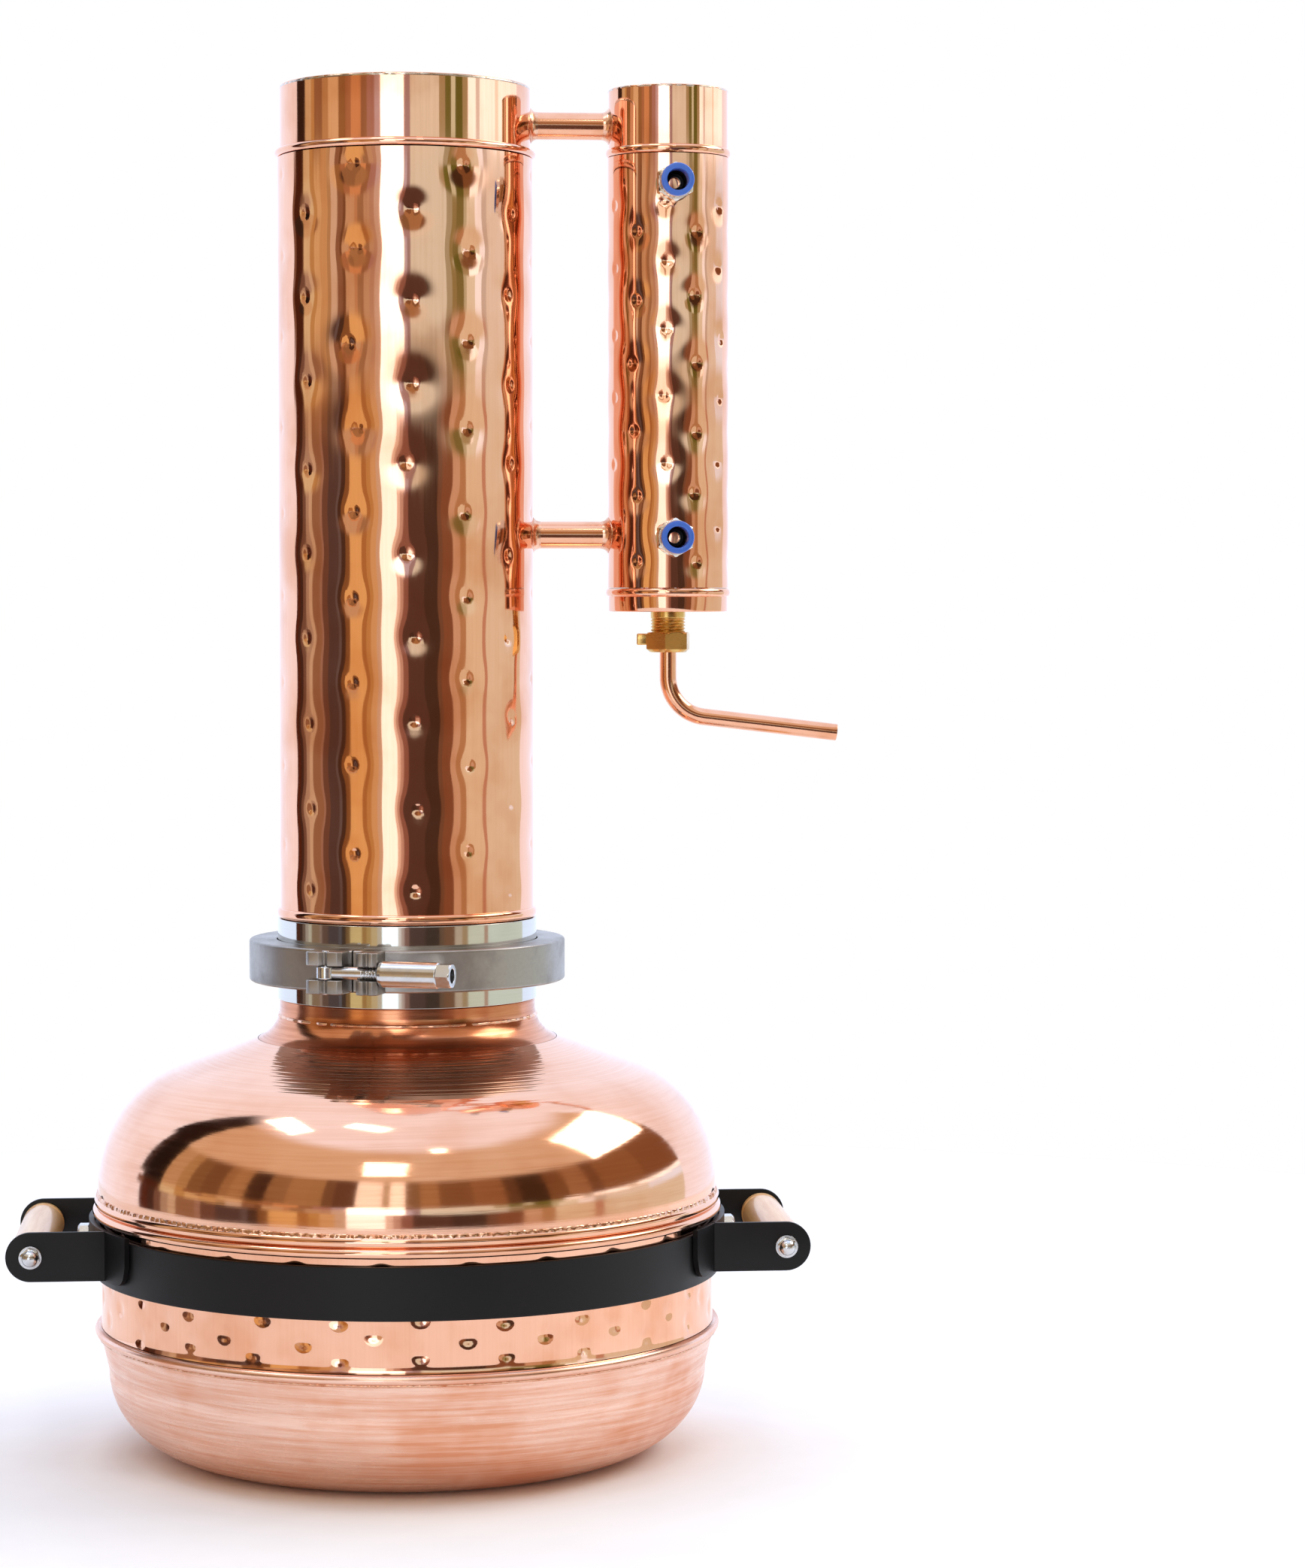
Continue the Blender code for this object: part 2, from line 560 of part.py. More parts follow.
def clamp_half(name, side, forks, knuckles):
    """One half of the clamp: half the ring, its forks at the front and its knuckles at the back."""
    half = turned(name, clamp_profile(), CAST_STAINLESS, LARGE_FLATS, clamp_place())
    reach = CLAMP_RADIUS + 2 * PAST
    edge = side * SPLIT_GAP / 2
    low_x, high_x = sorted((edge, side * reach))
    keep = block((low_x, -reach, -CLAMP_HEIGHT), (high_x, reach, CLAMP_HEIGHT))
    combine(half, cutter(name + "_side", keep, clamp_place()), "INTERSECT")

    half_height = CLAMP_HEIGHT / 2
    root = CLAMP_RADIUS - ROOT_DEPTH
    for label, sign in (("upper", 1.0), ("lower", -1.0)):
        low_z, high_z = sorted((sign * FORK_SLOT / 2, sign * half_height))
        prong = block((forks[0], -BOLT_LINE - FORK_DEPTH, low_z), (forks[1], -root, high_z))
        combine(half, cutter(f"{name}_{label}_fork", prong, clamp_place()), "UNION")

    leaf_end = side * HINGE_LEAF
    for index, (low_z, high_z) in enumerate(knuckles):
        low_x, high_x = sorted((edge, leaf_end))
        leaf = block((low_x, root, low_z), (high_x, HINGE_LINE, high_z))
        combine(half, cutter(f"{name}_leaf_{index}", leaf, clamp_place()), "UNION")
        barrel = prism(HINGE_RADIUS, high_z - low_z, SMALL_FLATS)
        combine(half, cutter(f"{name}_knuckle_{index}", barrel, clamp_place(0.0, HINGE_LINE, low_z)), "UNION")

    bore = prism(HINGE_PIN_RADIUS + RUNNING, 2 * CLAMP_HEIGHT, SMALL_FLATS)
    combine(half, cutter(name + "_pin_bore", bore, clamp_place(0.0, HINGE_LINE, -CLAMP_HEIGHT)), "DIFFERENCE")
    return half


def build_clamp():
    """Two hinged halves with their hinge pin, the swing bolt with its pin, and the barrel nut."""
    half_height = CLAMP_HEIGHT / 2
    middle = HINGE_MIDDLE / 2
    outer_knuckles = ((-half_height, -middle - GAP), (middle + GAP, half_height))
    left = clamp_half("clamp_half_left", -1.0, HOOK_FORK, outer_knuckles)
    clamp_half("clamp_half_right", 1.0, BEARING_FORK, ((-middle, middle),))

    pin_bore = prism(BOLT_PIN_RADIUS + RUNNING, 2 * CLAMP_HEIGHT, SMALL_FLATS)
    combine(left, cutter("bolt_pin_bore", pin_bore, clamp_place(BOLT_EYE_X, -BOLT_LINE, -CLAMP_HEIGHT)),
            "DIFFERENCE")

    hinge_end, pivot_end = half_height + HINGE_PIN_END, half_height + BOLT_PIN_END
    turned("clamp_hinge_pin", disc(HINGE_PIN_RADIUS, -hinge_end, hinge_end), ZINC,
           SMALL_FLATS, clamp_place(0.0, HINGE_LINE))
    turned("clamp_bolt_pin", disc(BOLT_PIN_RADIUS, -pivot_end, pivot_end), ZINC,
           SMALL_FLATS, clamp_place(BOLT_EYE_X, -BOLT_LINE))

    nut_start = BEARING_FORK[1] + NUT_GAP
    bolt_end = nut_start + NUT_BARREL
    eye_half = FORK_SLOT / 2 - GAP
    bolt = add_object("clamp_bolt", prism(BOLT_RADIUS, bolt_end - BOLT_EYE_X, SMALL_FLATS), ZINC,
                      clamp_place(BOLT_EYE_X, -BOLT_LINE, 0.0, ALONG_X))
    eye = prism(BOLT_EYE_RADIUS, 2 * eye_half, SMALL_FLATS)
    combine(bolt, cutter("bolt_eye", eye, clamp_place(BOLT_EYE_X, -BOLT_LINE, -eye_half)), "UNION")
    combine(bolt, cutter("bolt_eye_bore", pin_bore, clamp_place(BOLT_EYE_X, -BOLT_LINE, -CLAMP_HEIGHT)),
            "DIFFERENCE")

    bore = BOLT_RADIUS + RUNNING
    nut = turned("clamp_nut", disc(NUT_RADIUS, 0.0, NUT_BARREL), ZINC, SMALL_FLATS,
                 clamp_place(nut_start, -BOLT_LINE, 0.0, ALONG_X))
    hexagon = prism(hexagon_corner(NUT_ACROSS), NUT_HEXAGON + NUT_OVERLAP, 6)
    combine(nut, cutter("clamp_nut_hexagon", hexagon,
                        clamp_place(bolt_end - NUT_OVERLAP, -BOLT_LINE, 0.0, ALONG_X)), "UNION")
    socket = prism(bore, NUT_BARREL + NUT_HEXAGON + 2 * PAST, SMALL_FLATS)
    combine(nut, cutter("clamp_nut_bore", socket,
                        clamp_place(nut_start - PAST, -BOLT_LINE, 0.0, ALONG_X)), "DIFFERENCE")


def build_union():
    """Both ferrules, the gasket between them and the sieve plate that lies on it."""
    bore = FERRULE_RADIUS - FERRULE_WALL
    gasket_top = GASKET_BOTTOM + GASKET_THICKNESS
    turned("pot_ferrule", ferrule_profile(POT_FERRULE_TOP, POT_FERRULE_BOTTOM), STAINLESS)
    gasket = ring(bore - GASKET_LIP, FLANGE_RADIUS - GASKET_INSET, GASKET_BOTTOM, gasket_top)
    turned("union_gasket", gasket, SILICONE)
    turned("column_ferrule", ferrule_profile(COLUMN_FERRULE_BOTTOM, COLUMN_FERRULE_TOP), STAINLESS)
    sieve_radius = bore - 2 * RUNNING
    outlines = [circle(0.0, 0.0, sieve_radius, LARGE_FLATS)]
    for share, count in SIEVE_RINGS:
        for hole in range(count):
            turn = math.tau * hole / count
            x, y = share * sieve_radius * math.cos(turn), share * sieve_radius * math.sin(turn)
            outlines.append(circle(x, y, SIEVE_HOLE, SIEVE_HOLE_FLATS))
    add_object("sieve_plate", flat_plate(outlines, SIEVE_THICKNESS), POLISHED_COPPER,
               at(0.0, 0.0, gasket_top + GAP + SIEVE_THICKNESS / 2))


# ---------------------------------------------------------------- column

def beaded_tube(radius, bottom, top, bead_height, bead_out):
    """Tube with a rounded bead round its foot, as a closed loop."""
    bead = bead_points(radius, bottom + bead_height / 2, bead_out, bead_height / 2)
    return [(radius, top), *bead, (radius - SHEET, bottom), (radius - SHEET, top)]


def cylinder_cutter(name, radius, x, bottom, top, flats):
    """Upright cutter round one of the two vessels' axes."""
    return cutter(name, prism(radius, top - bottom, flats), at(x, 0.0, bottom))


def build_column():
    """Column shell, its cap band and its lid."""
    turned("column_shell", beaded_tube(COLUMN_RADIUS, SHELL_BOTTOM, SHELL_TOP, BEAD_HEIGHT, COLUMN_BEAD),
           POLISHED_COPPER)
    cap = turned("column_cap", beaded_tube(CAP_RADIUS, CAP_BOTTOM, CAP_TOP, CAP_BEAD_HEIGHT,
                                           COLUMN_BEAD + CAP_STEP), POLISHED_COPPER)
    turned("column_lid", disc(CAP_RADIUS, LID_BOTTOM, LID_TOP), POLISHED_COPPER)
    return cap


# ---------------------------------------------------------------- condenser

def build_condenser():
    """Water jacket, headers, tube plates and the seven tubes."""
    here = at(CONDENSER_X, 0.0, 0.0)
    shell = ring(CONDENSER_RADIUS - SHEET, CONDENSER_RADIUS, JACKET_BOTTOM, JACKET_TOP)
    jacket = turned("condenser_shell", shell, POLISHED_COPPER, MEDIUM_FLATS, here)
    bead = CAP_BEAD_HEIGHT / 2
    bead_out = CONDENSER_BEAD + CONDENSER_STEP
    inner = HEADER_RADIUS - SHEET
    top_bead = bead_points(HEADER_RADIUS, TOP_CAP_BOTTOM + bead, bead_out, bead)
    top = [(0.0, CONDENSER_TOP), (HEADER_RADIUS, CONDENSER_TOP), *top_bead, (inner, TOP_CAP_BOTTOM),
           (inner, CONDENSER_TOP - SHEET), (0.0, CONDENSER_TOP - SHEET)]
    top_cap = turned("condenser_top_cap", top, POLISHED_COPPER, MEDIUM_FLATS, here)
    hole = NIPPLE_RADIUS + RUNNING
    bottom_bead = bead_points(HEADER_RADIUS, BOTTOM_CAP_TOP - bead, bead_out, bead)
    bottom = [*bottom_bead, (HEADER_RADIUS, CONDENSER_BOTTOM), (hole, CONDENSER_BOTTOM),
              (hole, CONDENSER_BOTTOM + SHEET), (inner, CONDENSER_BOTTOM + SHEET), (inner, BOTTOM_CAP_TOP)]
    turned("condenser_bottom_cap", bottom, POLISHED_COPPER, MEDIUM_FLATS, here)

    places = [(0.0, 0.0), *circle(0.0, 0.0, TUBE_RING, 6)]
    outlines = [circle(0.0, 0.0, CONDENSER_RADIUS - SHEET - RUNNING, MEDIUM_FLATS)]
    outlines += [circle(x, y, TUBE_RADIUS + RUNNING, TUBE_FLATS) for x, y in places]
    for name, middle in (("upper_tube_plate", UPPER_PLATE_TOP - PLATE_THICKNESS / 2),
                         ("lower_tube_plate", LOWER_PLATE_BOTTOM + PLATE_THICKNESS / 2)):
        add_object(name, flat_plate(outlines, PLATE_THICKNESS), POLISHED_COPPER, at(CONDENSER_X, 0.0, middle))
    for number, (x, y) in enumerate(places, start=1):
        turned(f"condenser_tube_{number}", ring(TUBE_RADIUS - TUBE_WALL, TUBE_RADIUS, TUBE_BOTTOM, TUBE_TOP),
               POLISHED_COPPER, TUBE_FLATS, at(CONDENSER_X + x, y, 0.0))
    return jacket, top_cap


def build_bridges(column_cap, top_cap):
    """Vapour pipe through both caps, the brace between the shells, and their solder collars."""
    outer = BRIDGE_RADIUS
    bore = outer - BRIDGE_WALL
    vapour_start = CAP_RADIUS - SHEET - BRIDGE_REACH
    vapour_end = CONDENSER_X - HEADER_RADIUS + SHEET + BRIDGE_REACH
    turned("vapour_pipe", ring(bore, outer, vapour_start, vapour_end), POLISHED_COPPER, SMALL_FLATS,
           at(0.0, 0.0, VAPOUR_Z, ALONG_X))
    drill = cutter("vapour_bore", prism(outer + RUNNING, CONDENSER_X - CAP_RADIUS / 2, SMALL_FLATS),
                   at(CAP_RADIUS / 2, 0.0, VAPOUR_Z, ALONG_X))
    combine(column_cap, drill, "DIFFERENCE")
    combine(top_cap, drill, "DIFFERENCE")

    brace = turned("brace_pipe", ring(bore, outer, COLUMN_RADIUS - outer / 2,
                                      CONDENSER_X - CONDENSER_RADIUS + outer / 2),
                   POLISHED_COPPER, SMALL_FLATS, at(0.0, 0.0, BRACE_Z, ALONG_X))
    levels = (("vapour", VAPOUR_Z, CAP_RADIUS, HEADER_RADIUS),
              ("brace", BRACE_Z, COLUMN_RADIUS, CONDENSER_RADIUS))
    for label, z, column_radius, condenser_radius in levels:
        low, high = z - 2 * outer, z + 2 * outer
        column_side = cylinder_cutter(label + "_column_side", column_radius + GAP, 0.0, low, high,
                                      LARGE_FLATS)
        condenser_side = cylinder_cutter(label + "_condenser_side", condenser_radius + GAP, CONDENSER_X,
                                         low, high, LARGE_FLATS)
        if label == "brace":
            combine(brace, column_side, "DIFFERENCE")
            combine(brace, condenser_side, "DIFFERENCE")
        collar_in = outer + RUNNING
        collar_out = outer + COLLAR_OUT
        foot = column_radius - COLLAR_LENGTH
        collar = turned(label + "_collar_column",
                        ring(collar_in, collar_out, foot, column_radius + COLLAR_LENGTH),
                        POLISHED_COPPER, SMALL_FLATS, at(0.0, 0.0, z, ALONG_X))
        combine(collar, column_side, "DIFFERENCE")
        face = CONDENSER_X - condenser_radius
        collar = turned(label + "_collar_condenser",
                        ring(collar_in, collar_out, face - COLLAR_LENGTH, face + COLLAR_LENGTH),
                        POLISHED_COPPER, SMALL_FLATS, at(0.0, 0.0, z, ALONG_X))
        combine(collar, condenser_side, "DIFFERENCE")


def build_port(label, height, jacket):
    """One push-in water port: hexagon body with its spigot, the seal inside and the release collet."""
    corner = hexagon_corner(PORT_ACROSS)
    spigot_end = CONDENSER_RADIUS - SHEET - SPIGOT_INSIDE
    hex_start = CONDENSER_RADIUS + PORT_STANDOFF
    hex_end = hex_start + PORT_HEXAGON
    nose_end = hex_end + PORT_NOSE
    sleeve_room = nose_end - SLEEVE_DEPTH - COLLET_TRAVEL - GAP
    seal_floor = sleeve_room - GAP - SEAL_THICKNESS - GAP
    hose_floor = hex_start + PORT_FLOOR
    outside = [(PORT_NOSE_RADIUS, nose_end), (PORT_NOSE_RADIUS, hex_end), (corner, hex_end),
               (corner, hex_start), (SPIGOT_RADIUS, hex_start), (SPIGOT_RADIUS, spigot_end)]
    inside = [(SPIGOT_BORE, spigot_end), (SPIGOT_BORE, hose_floor), (SOCKET_RADIUS, hose_floor),
              (SOCKET_RADIUS, seal_floor), (COUNTERBORE_RADIUS, seal_floor), (COUNTERBORE_RADIUS, nose_end)]
    place = at(CONDENSER_X, 0.0, height, ALONG_MINUS_Y)
    body = turned(label + "_port_body", [*outside, *inside], NICKEL, SMALL_FLATS, place)
    flats = prism(corner, nose_end + PAST, 6)
    combine(body, cutter(label + "_port_flats", flats, place), "INTERSECT")
    drill = prism(SPIGOT_RADIUS + RUNNING, 2 * CONDENSER_RADIUS, SMALL_FLATS)
    drill_place = at(CONDENSER_X, -CONDENSER_RADIUS / 2, height, ALONG_MINUS_Y)
    combine(jacket, cutter(label + "_port_hole", drill, drill_place), "DIFFERENCE")

    seal_bottom = seal_floor + GAP
    seal = ring(SOCKET_RADIUS, COUNTERBORE_RADIUS - RUNNING, seal_bottom, seal_bottom + SEAL_THICKNESS)
    turned(label + "_port_seal", seal, BLACK_RUBBER, SMALL_FLATS, place)
    sleeve_bottom = nose_end - SLEEVE_DEPTH
    flange_bottom = nose_end + COLLET_TRAVEL + GAP
    flange_top = flange_bottom + COLLET_FLANGE
    collet = [(COLLET_RADIUS - COLLET_CHAMFER, flange_top), (COLLET_RADIUS, flange_top - COLLET_CHAMFER),
              (COLLET_RADIUS, flange_bottom), (SLEEVE_RADIUS, flange_bottom), (SLEEVE_RADIUS, sleeve_bottom),
              (SOCKET_RADIUS, sleeve_bottom), (SOCKET_RADIUS, flange_top)]
    turned(label + "_port_collet", collet, BLUE_PLASTIC, GRIP_FLATS, place)


# ---------------------------------------------------------------- outlet

def spout_path():
    """Middle line of the spout: straight down, a round bend, and a run that falls slightly."""
    start = Vector((CONDENSER_X, 0.0, NIPPLE_BOTTOM + SPOUT_INSERT))
    bend_top = OUTLET_NUT_BOTTOM - SPOUT_DROP
    turn = math.radians(90) - SPOUT_FALL
    bend = [Vector((CONDENSER_X + SPOUT_BEND * (1 - math.cos(turn * k / BEND_STEPS)), 0.0,
                    bend_top - SPOUT_BEND * math.sin(turn * k / BEND_STEPS))) for k in range(BEND_STEPS + 1)]
    run = Vector((math.cos(SPOUT_FALL), 0.0, -math.sin(SPOUT_FALL))) * SPOUT_RUN
    return [start, *bend, bend[-1] + run]


def open_tube(name, points, radius, wall, material):
    """Bent tube with open ends: a bevelled curve made a mesh, thickened inwards."""
    curve = bpy.data.curves.new(name, "CURVE")
    curve.dimensions = "3D"
    curve.bevel_depth = radius
    curve.bevel_resolution = 3
    spline = curve.splines.new("POLY")
    spline.points.add(len(points) - 1)
    for point, place in zip(spline.points, points):
        point.co = (*place, 1.0)
    tube = add_object(name, mesh_of_curve(curve), material)
    solid = tube.modifiers.new("wall", "SOLIDIFY")
    solid.thickness = wall
    solid.offset = -1.0
    return tube


def build_outlet():
    """Brass nipple, compression nut and ring, and the bent copper spout."""
    here = at(CONDENSER_X, 0.0, 0.0)
    bore = SPOUT_RADIUS + RUNNING
    nipple_top = CONDENSER_BOTTOM + SHEET + NIPPLE_INSIDE
    shoulder = NIPPLE_RADIUS + NIPPLE_SHOULDER
    nipple = [(shoulder, nipple_top), (shoulder, CONDENSER_BOTTOM + SHEET + GAP),
              (NIPPLE_RADIUS, CONDENSER_BOTTOM + SHEET + GAP), (NIPPLE_RADIUS, NIPPLE_BOTTOM),
              (bore, NIPPLE_BOTTOM), (bore, nipple_top)]
    turned("outlet_nipple", nipple, BRASS, SMALL_FLATS, here)

    thread = NIPPLE_RADIUS + RUNNING
    corner = hexagon_corner(OUTLET_NUT_ACROSS)
    floor = OUTLET_NUT_BOTTOM + NUT_FLOOR
    outline = [(corner, OUTLET_NUT_TOP), (corner, OUTLET_NUT_BOTTOM), (bore, OUTLET_NUT_BOTTOM),
               (bore, floor), (thread, floor), (thread, OUTLET_NUT_TOP)]
    nut = turned("outlet_nut", outline, BRASS, SMALL_FLATS, here)
    flats = prism(corner, 2 * OUTLET_NUT_HEIGHT, 6)
    flats_place = at(CONDENSER_X, 0.0, OUTLET_NUT_BOTTOM - OUTLET_NUT_HEIGHT / 2,
                     Matrix.Rotation(OUTLET_NUT_TURN, 4, "Z"))
    combine(nut, cutter("outlet_nut_flats", flats, flats_place), "INTERSECT")
    lug = block((-corner - NUT_LUG, -LUG_HALF_WIDTH, OUTLET_NUT_TOP - LUG_HEIGHTS[0]),
                (-thread - LUG_ROOT, LUG_HALF_WIDTH, OUTLET_NUT_TOP - LUG_HEIGHTS[1]))
    combine(nut, cutter("outlet_nut_lug", lug, here), "UNION")

    ring_bottom = OUTLET_NUT_BOTTOM + NUT_FLOOR + GAP
    ring_top = NIPPLE_BOTTOM - GAP
    middle = (ring_bottom + ring_top) / 2
    olive = [(bore + OLIVE_EDGE, ring_top), (bore + OLIVE_MIDDLE, middle), (bore + OLIVE_EDGE, ring_bottom),
             (bore, ring_bottom), (bore, ring_top)]
    turned("outlet_olive", olive, BRASS, SMALL_FLATS, here)
    open_tube("outlet_spout", spout_path(), SPOUT_RADIUS, SPOUT_WALL, POLISHED_COPPER)


# ---------------------------------------------------------------- carrying frame

def arm_mesh():
    """One arm as a flat plate with a round outer end, about the grip's axis."""
    half = SADDLE_HEIGHT / 2
    root = math.sqrt((SADDLE_INNER + STRAP / 2) ** 2 - ARM_HALF_SPACING ** 2) - GRIP_X
    end = arc(0.0, 0.0, half, half, math.radians(-90), math.radians(90), 8)
    return flat_plate([[(root, half), (root, -half), *end]], STRAP)


def build_side(label, side, hoop):
    """One handle: saddle with two arms, its bolt, the grip, its rod and four dome nuts."""
    turn = UPRIGHT if side > 0 else Matrix.Rotation(math.pi, 4, "Z")
    bracket = turned(label + "_bracket", ring(SADDLE_INNER, SADDLE_OUTER, SADDLE_Z - SADDLE_HEIGHT / 2,
                                              SADDLE_Z + SADDLE_HEIGHT / 2), BLACK_STEEL, LARGE_FLATS, turn)
    edge_x = SADDLE_INNER * math.cos(SADDLE_ANGLE)
    reach = SADDLE_OUTER * math.sin(SADDLE_ANGLE)
    sector = block((edge_x - STRAP, -reach, 0.0), (SADDLE_OUTER + STRAP, reach, 2 * SADDLE_Z))
    combine(bracket, cutter(label + "_saddle_sector", sector, turn), "INTERSECT")
    for end, sign in (("front", -1.0), ("rear", 1.0)):
        place = turn @ at(GRIP_X, sign * ARM_HALF_SPACING, SADDLE_Z, ALONG_MINUS_Y)
        combine(bracket, cutter(f"{label}_{end}_arm", arm_mesh(), place), "UNION")
    rod_bore = prism(ROD_RADIUS + RUNNING, 4 * ARM_HALF_SPACING, SMALL_FLATS)
    combine(bracket, cutter(label + "_rod_bore", rod_bore,
                            turn @ at(GRIP_X, 2 * ARM_HALF_SPACING, SADDLE_Z, ALONG_MINUS_Y)), "DIFFERENCE")
    drill = prism(HOOP_BOLT_RADIUS + RUNNING, SADDLE_OUTER - HOOP_INNER + 2 * PAST, SMALL_FLATS)
    bolt_bore = cutter(label + "_bolt_bore", drill, turn @ at(HOOP_INNER - PAST, 0.0, SADDLE_Z, ALONG_X))
    combine(bracket, bolt_bore, "DIFFERENCE")
    combine(hoop, bolt_bore, "DIFFERENCE")

    head = SADDLE_OUTER + GAP
    bolt = add_object(label + "_hoop_bolt", prism(hexagon_corner(HOOP_BOLT_ACROSS), HOOP_BOLT_HEAD, 6), ZINC,
                      turn @ at(head, 0.0, SADDLE_Z, ALONG_X))
    shank_start = HOOP_INNER + GAP
    shank = prism(HOOP_BOLT_RADIUS, head + HOOP_BOLT_HEAD / 2 - shank_start, SMALL_FLATS)
    shank_place = turn @ at(shank_start, 0.0, SADDLE_Z, ALONG_X)
    combine(bolt, cutter(label + "_bolt_shank", shank, shank_place), "UNION")

    grip_place = turn @ at(GRIP_X, 0.0, SADDLE_Z, ALONG_MINUS_Y)
    turned(label + "_grip", grip_profile(), BEECH, GRIP_FLATS, grip_place)
    nut_foot = ARM_HALF_SPACING + STRAP / 2 + GAP
    rod_half = nut_foot + GRIP_NUT_SOCKET - 2 * GAP
    turned(label + "_grip_rod", disc(ROD_RADIUS, -rod_half, rod_half), ZINC, SMALL_FLATS, grip_place)
    dome_radius = GRIP_NUT_RADIUS - WASHER_OUT
    dome = arc(0.0, nut_foot + GRIP_NUT_HEIGHT / 2, dome_radius, GRIP_NUT_HEIGHT / 2,
               math.radians(90), 0.0, BEAD_STEPS)
    washer_top = nut_foot + WASHER_THICKNESS
    washer = [(dome_radius, washer_top), (GRIP_NUT_RADIUS, washer_top), (GRIP_NUT_RADIUS, nut_foot)]
    socket = ROD_RADIUS + RUNNING
    inside = [(socket, nut_foot), (socket, nut_foot + GRIP_NUT_SOCKET), (0.0, nut_foot + GRIP_NUT_SOCKET)]
    outline = [(0.0, dome[0][1]), *dome[1:], *washer, *inside]
    front, rear = (ALONG_MINUS_Y, Matrix.Rotation(math.radians(-90), 4, "X"))
    if side < 0:
        front, rear = rear, front
    for end, direction in (("front", front), ("rear", rear)):
        nut_place = turn @ at(GRIP_X, 0.0, SADDLE_Z, direction)
        turned(f"{label}_grip_nut_{end}", outline, ZINC, SMALL_FLATS, nut_place)


def grip_profile():
    """Grip as a closed loop: rounded ends, a groove near each end and a bore for the rod."""
    end = GRIP_HALF
    groove = end - GRIP_GROOVE
    upper = [(GRIP_RADIUS - GRIP_ROUND, end), (GRIP_RADIUS, end - GRIP_ROUND),
             (GRIP_RADIUS, groove + GROOVE_HALF), (GRIP_RADIUS - GROOVE_DEPTH, groove),
             (GRIP_RADIUS, groove - GROOVE_HALF)]
    lower = [(r, -z) for r, z in reversed(upper)]
    bore = ROD_RADIUS + RUNNING
    return [*upper, *lower, (bore, -end), (bore, end)]


def build_frame():
    """Strap hoop round the belt and a handle on either side."""
    hoop = turned("hoop", ring(HOOP_INNER, HOOP_OUTER, HOOP_BOTTOM, HOOP_BOTTOM + HOOP_HEIGHT), BLACK_STEEL)
    build_side("right", 1.0, hoop)
    build_side("left", -1.0, hoop)


build_pot()
build_union()
build_clamp()
COLUMN_CAP = build_column()
JACKET, TOP_CAP = build_condenser()
build_bridges(COLUMN_CAP, TOP_CAP)
build_port("upper", UPPER_PORT_Z, JACKET)
build_port("lower", LOWER_PORT_Z, JACKET)
build_outlet()
build_frame()
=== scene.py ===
"""Copper column still: the visual model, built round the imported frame.

Every piece is a closed surface worked out as whole numpy arrays, placed by the frame's own boxes. Shapes are
worked out in millimetres and written to their meshes in metres. +Z is up, the pot stands on the origin, the
condenser is at +X and the water ports face -Y.
"""

import logging
import math
from dataclasses import dataclass, field
from enum import Enum
from typing import Callable, Optional, Sequence

import bpy
import numpy as np
from mathutils import Matrix, Vector


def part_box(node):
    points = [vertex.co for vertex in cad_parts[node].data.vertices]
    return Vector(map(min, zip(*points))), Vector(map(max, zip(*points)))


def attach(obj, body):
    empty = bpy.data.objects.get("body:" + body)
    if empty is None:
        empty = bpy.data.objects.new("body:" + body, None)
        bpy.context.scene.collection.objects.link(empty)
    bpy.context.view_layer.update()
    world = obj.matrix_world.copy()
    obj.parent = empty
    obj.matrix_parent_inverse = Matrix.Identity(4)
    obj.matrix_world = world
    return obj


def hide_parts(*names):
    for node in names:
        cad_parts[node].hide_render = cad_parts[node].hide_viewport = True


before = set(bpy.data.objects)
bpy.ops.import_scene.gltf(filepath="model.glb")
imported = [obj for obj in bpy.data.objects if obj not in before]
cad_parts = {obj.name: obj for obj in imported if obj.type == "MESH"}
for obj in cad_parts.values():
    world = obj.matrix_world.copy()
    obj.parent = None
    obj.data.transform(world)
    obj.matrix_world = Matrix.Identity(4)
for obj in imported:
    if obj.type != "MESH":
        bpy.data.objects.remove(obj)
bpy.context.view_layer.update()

LOG = logging.getLogger("column_still")

MM = 0.001              # a millimetre in metres: shapes are in millimetres, materials and meshes in metres
TAU = 2.0 * math.pi
SEED = 7
SHARP_FROM = 38.0       # degrees between two faces whose edge is shaded sharp

Corner = tuple[float, float, float]                      # radius, height, rounding
Field = Callable[[np.ndarray, np.ndarray, np.ndarray], np.ndarray]     # angle, radius, height to radius


# ---- places

@dataclass(frozen=True)
class Extent:
    """Box of one node of the frame, in millimetres.

    Attributes:
        low: Lowest corner.
        high: Highest corner.
    """

    low: Vector
    high: Vector

    @classmethod
    def of(cls, node: str) -> "Extent":
        """Box of the node with this name."""
        return cls(*(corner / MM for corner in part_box(node)))

    @property
    def middle(self) -> Vector:
        """Middle of the box."""
        return (self.low + self.high) / 2

    @property
    def radius(self) -> float:
        """Half the box's width along X, which is an upright round piece's radius."""
        return (self.high.x - self.low.x) / 2


def box_of(node: str) -> Extent:
    """Dataclass field that holds the box of the node with this name."""
    return field(default_factory=lambda: Extent.of(node))


class Direction(Enum):
    """Ways that a turned piece's own axis can be laid: a turn in degrees, and the axis that it goes round."""

    UP = (0, "Z")
    ALONG_X = (90, "Y")
    FRONT = (90, "X")
    REAR = (-90, "X")

    def matrix(self) -> Matrix:
        """Rotation that lays the +Z axis this way."""
        angle, axis = self.value
        return Matrix.Rotation(math.radians(angle), 4, axis)


def at(x: float, y: float, z: float, way: Direction = Direction.UP) -> Matrix:
    """Placement at a point, laid in a direction."""
    return Matrix.Translation((x, y, z)) @ way.matrix()


# ---- outlines

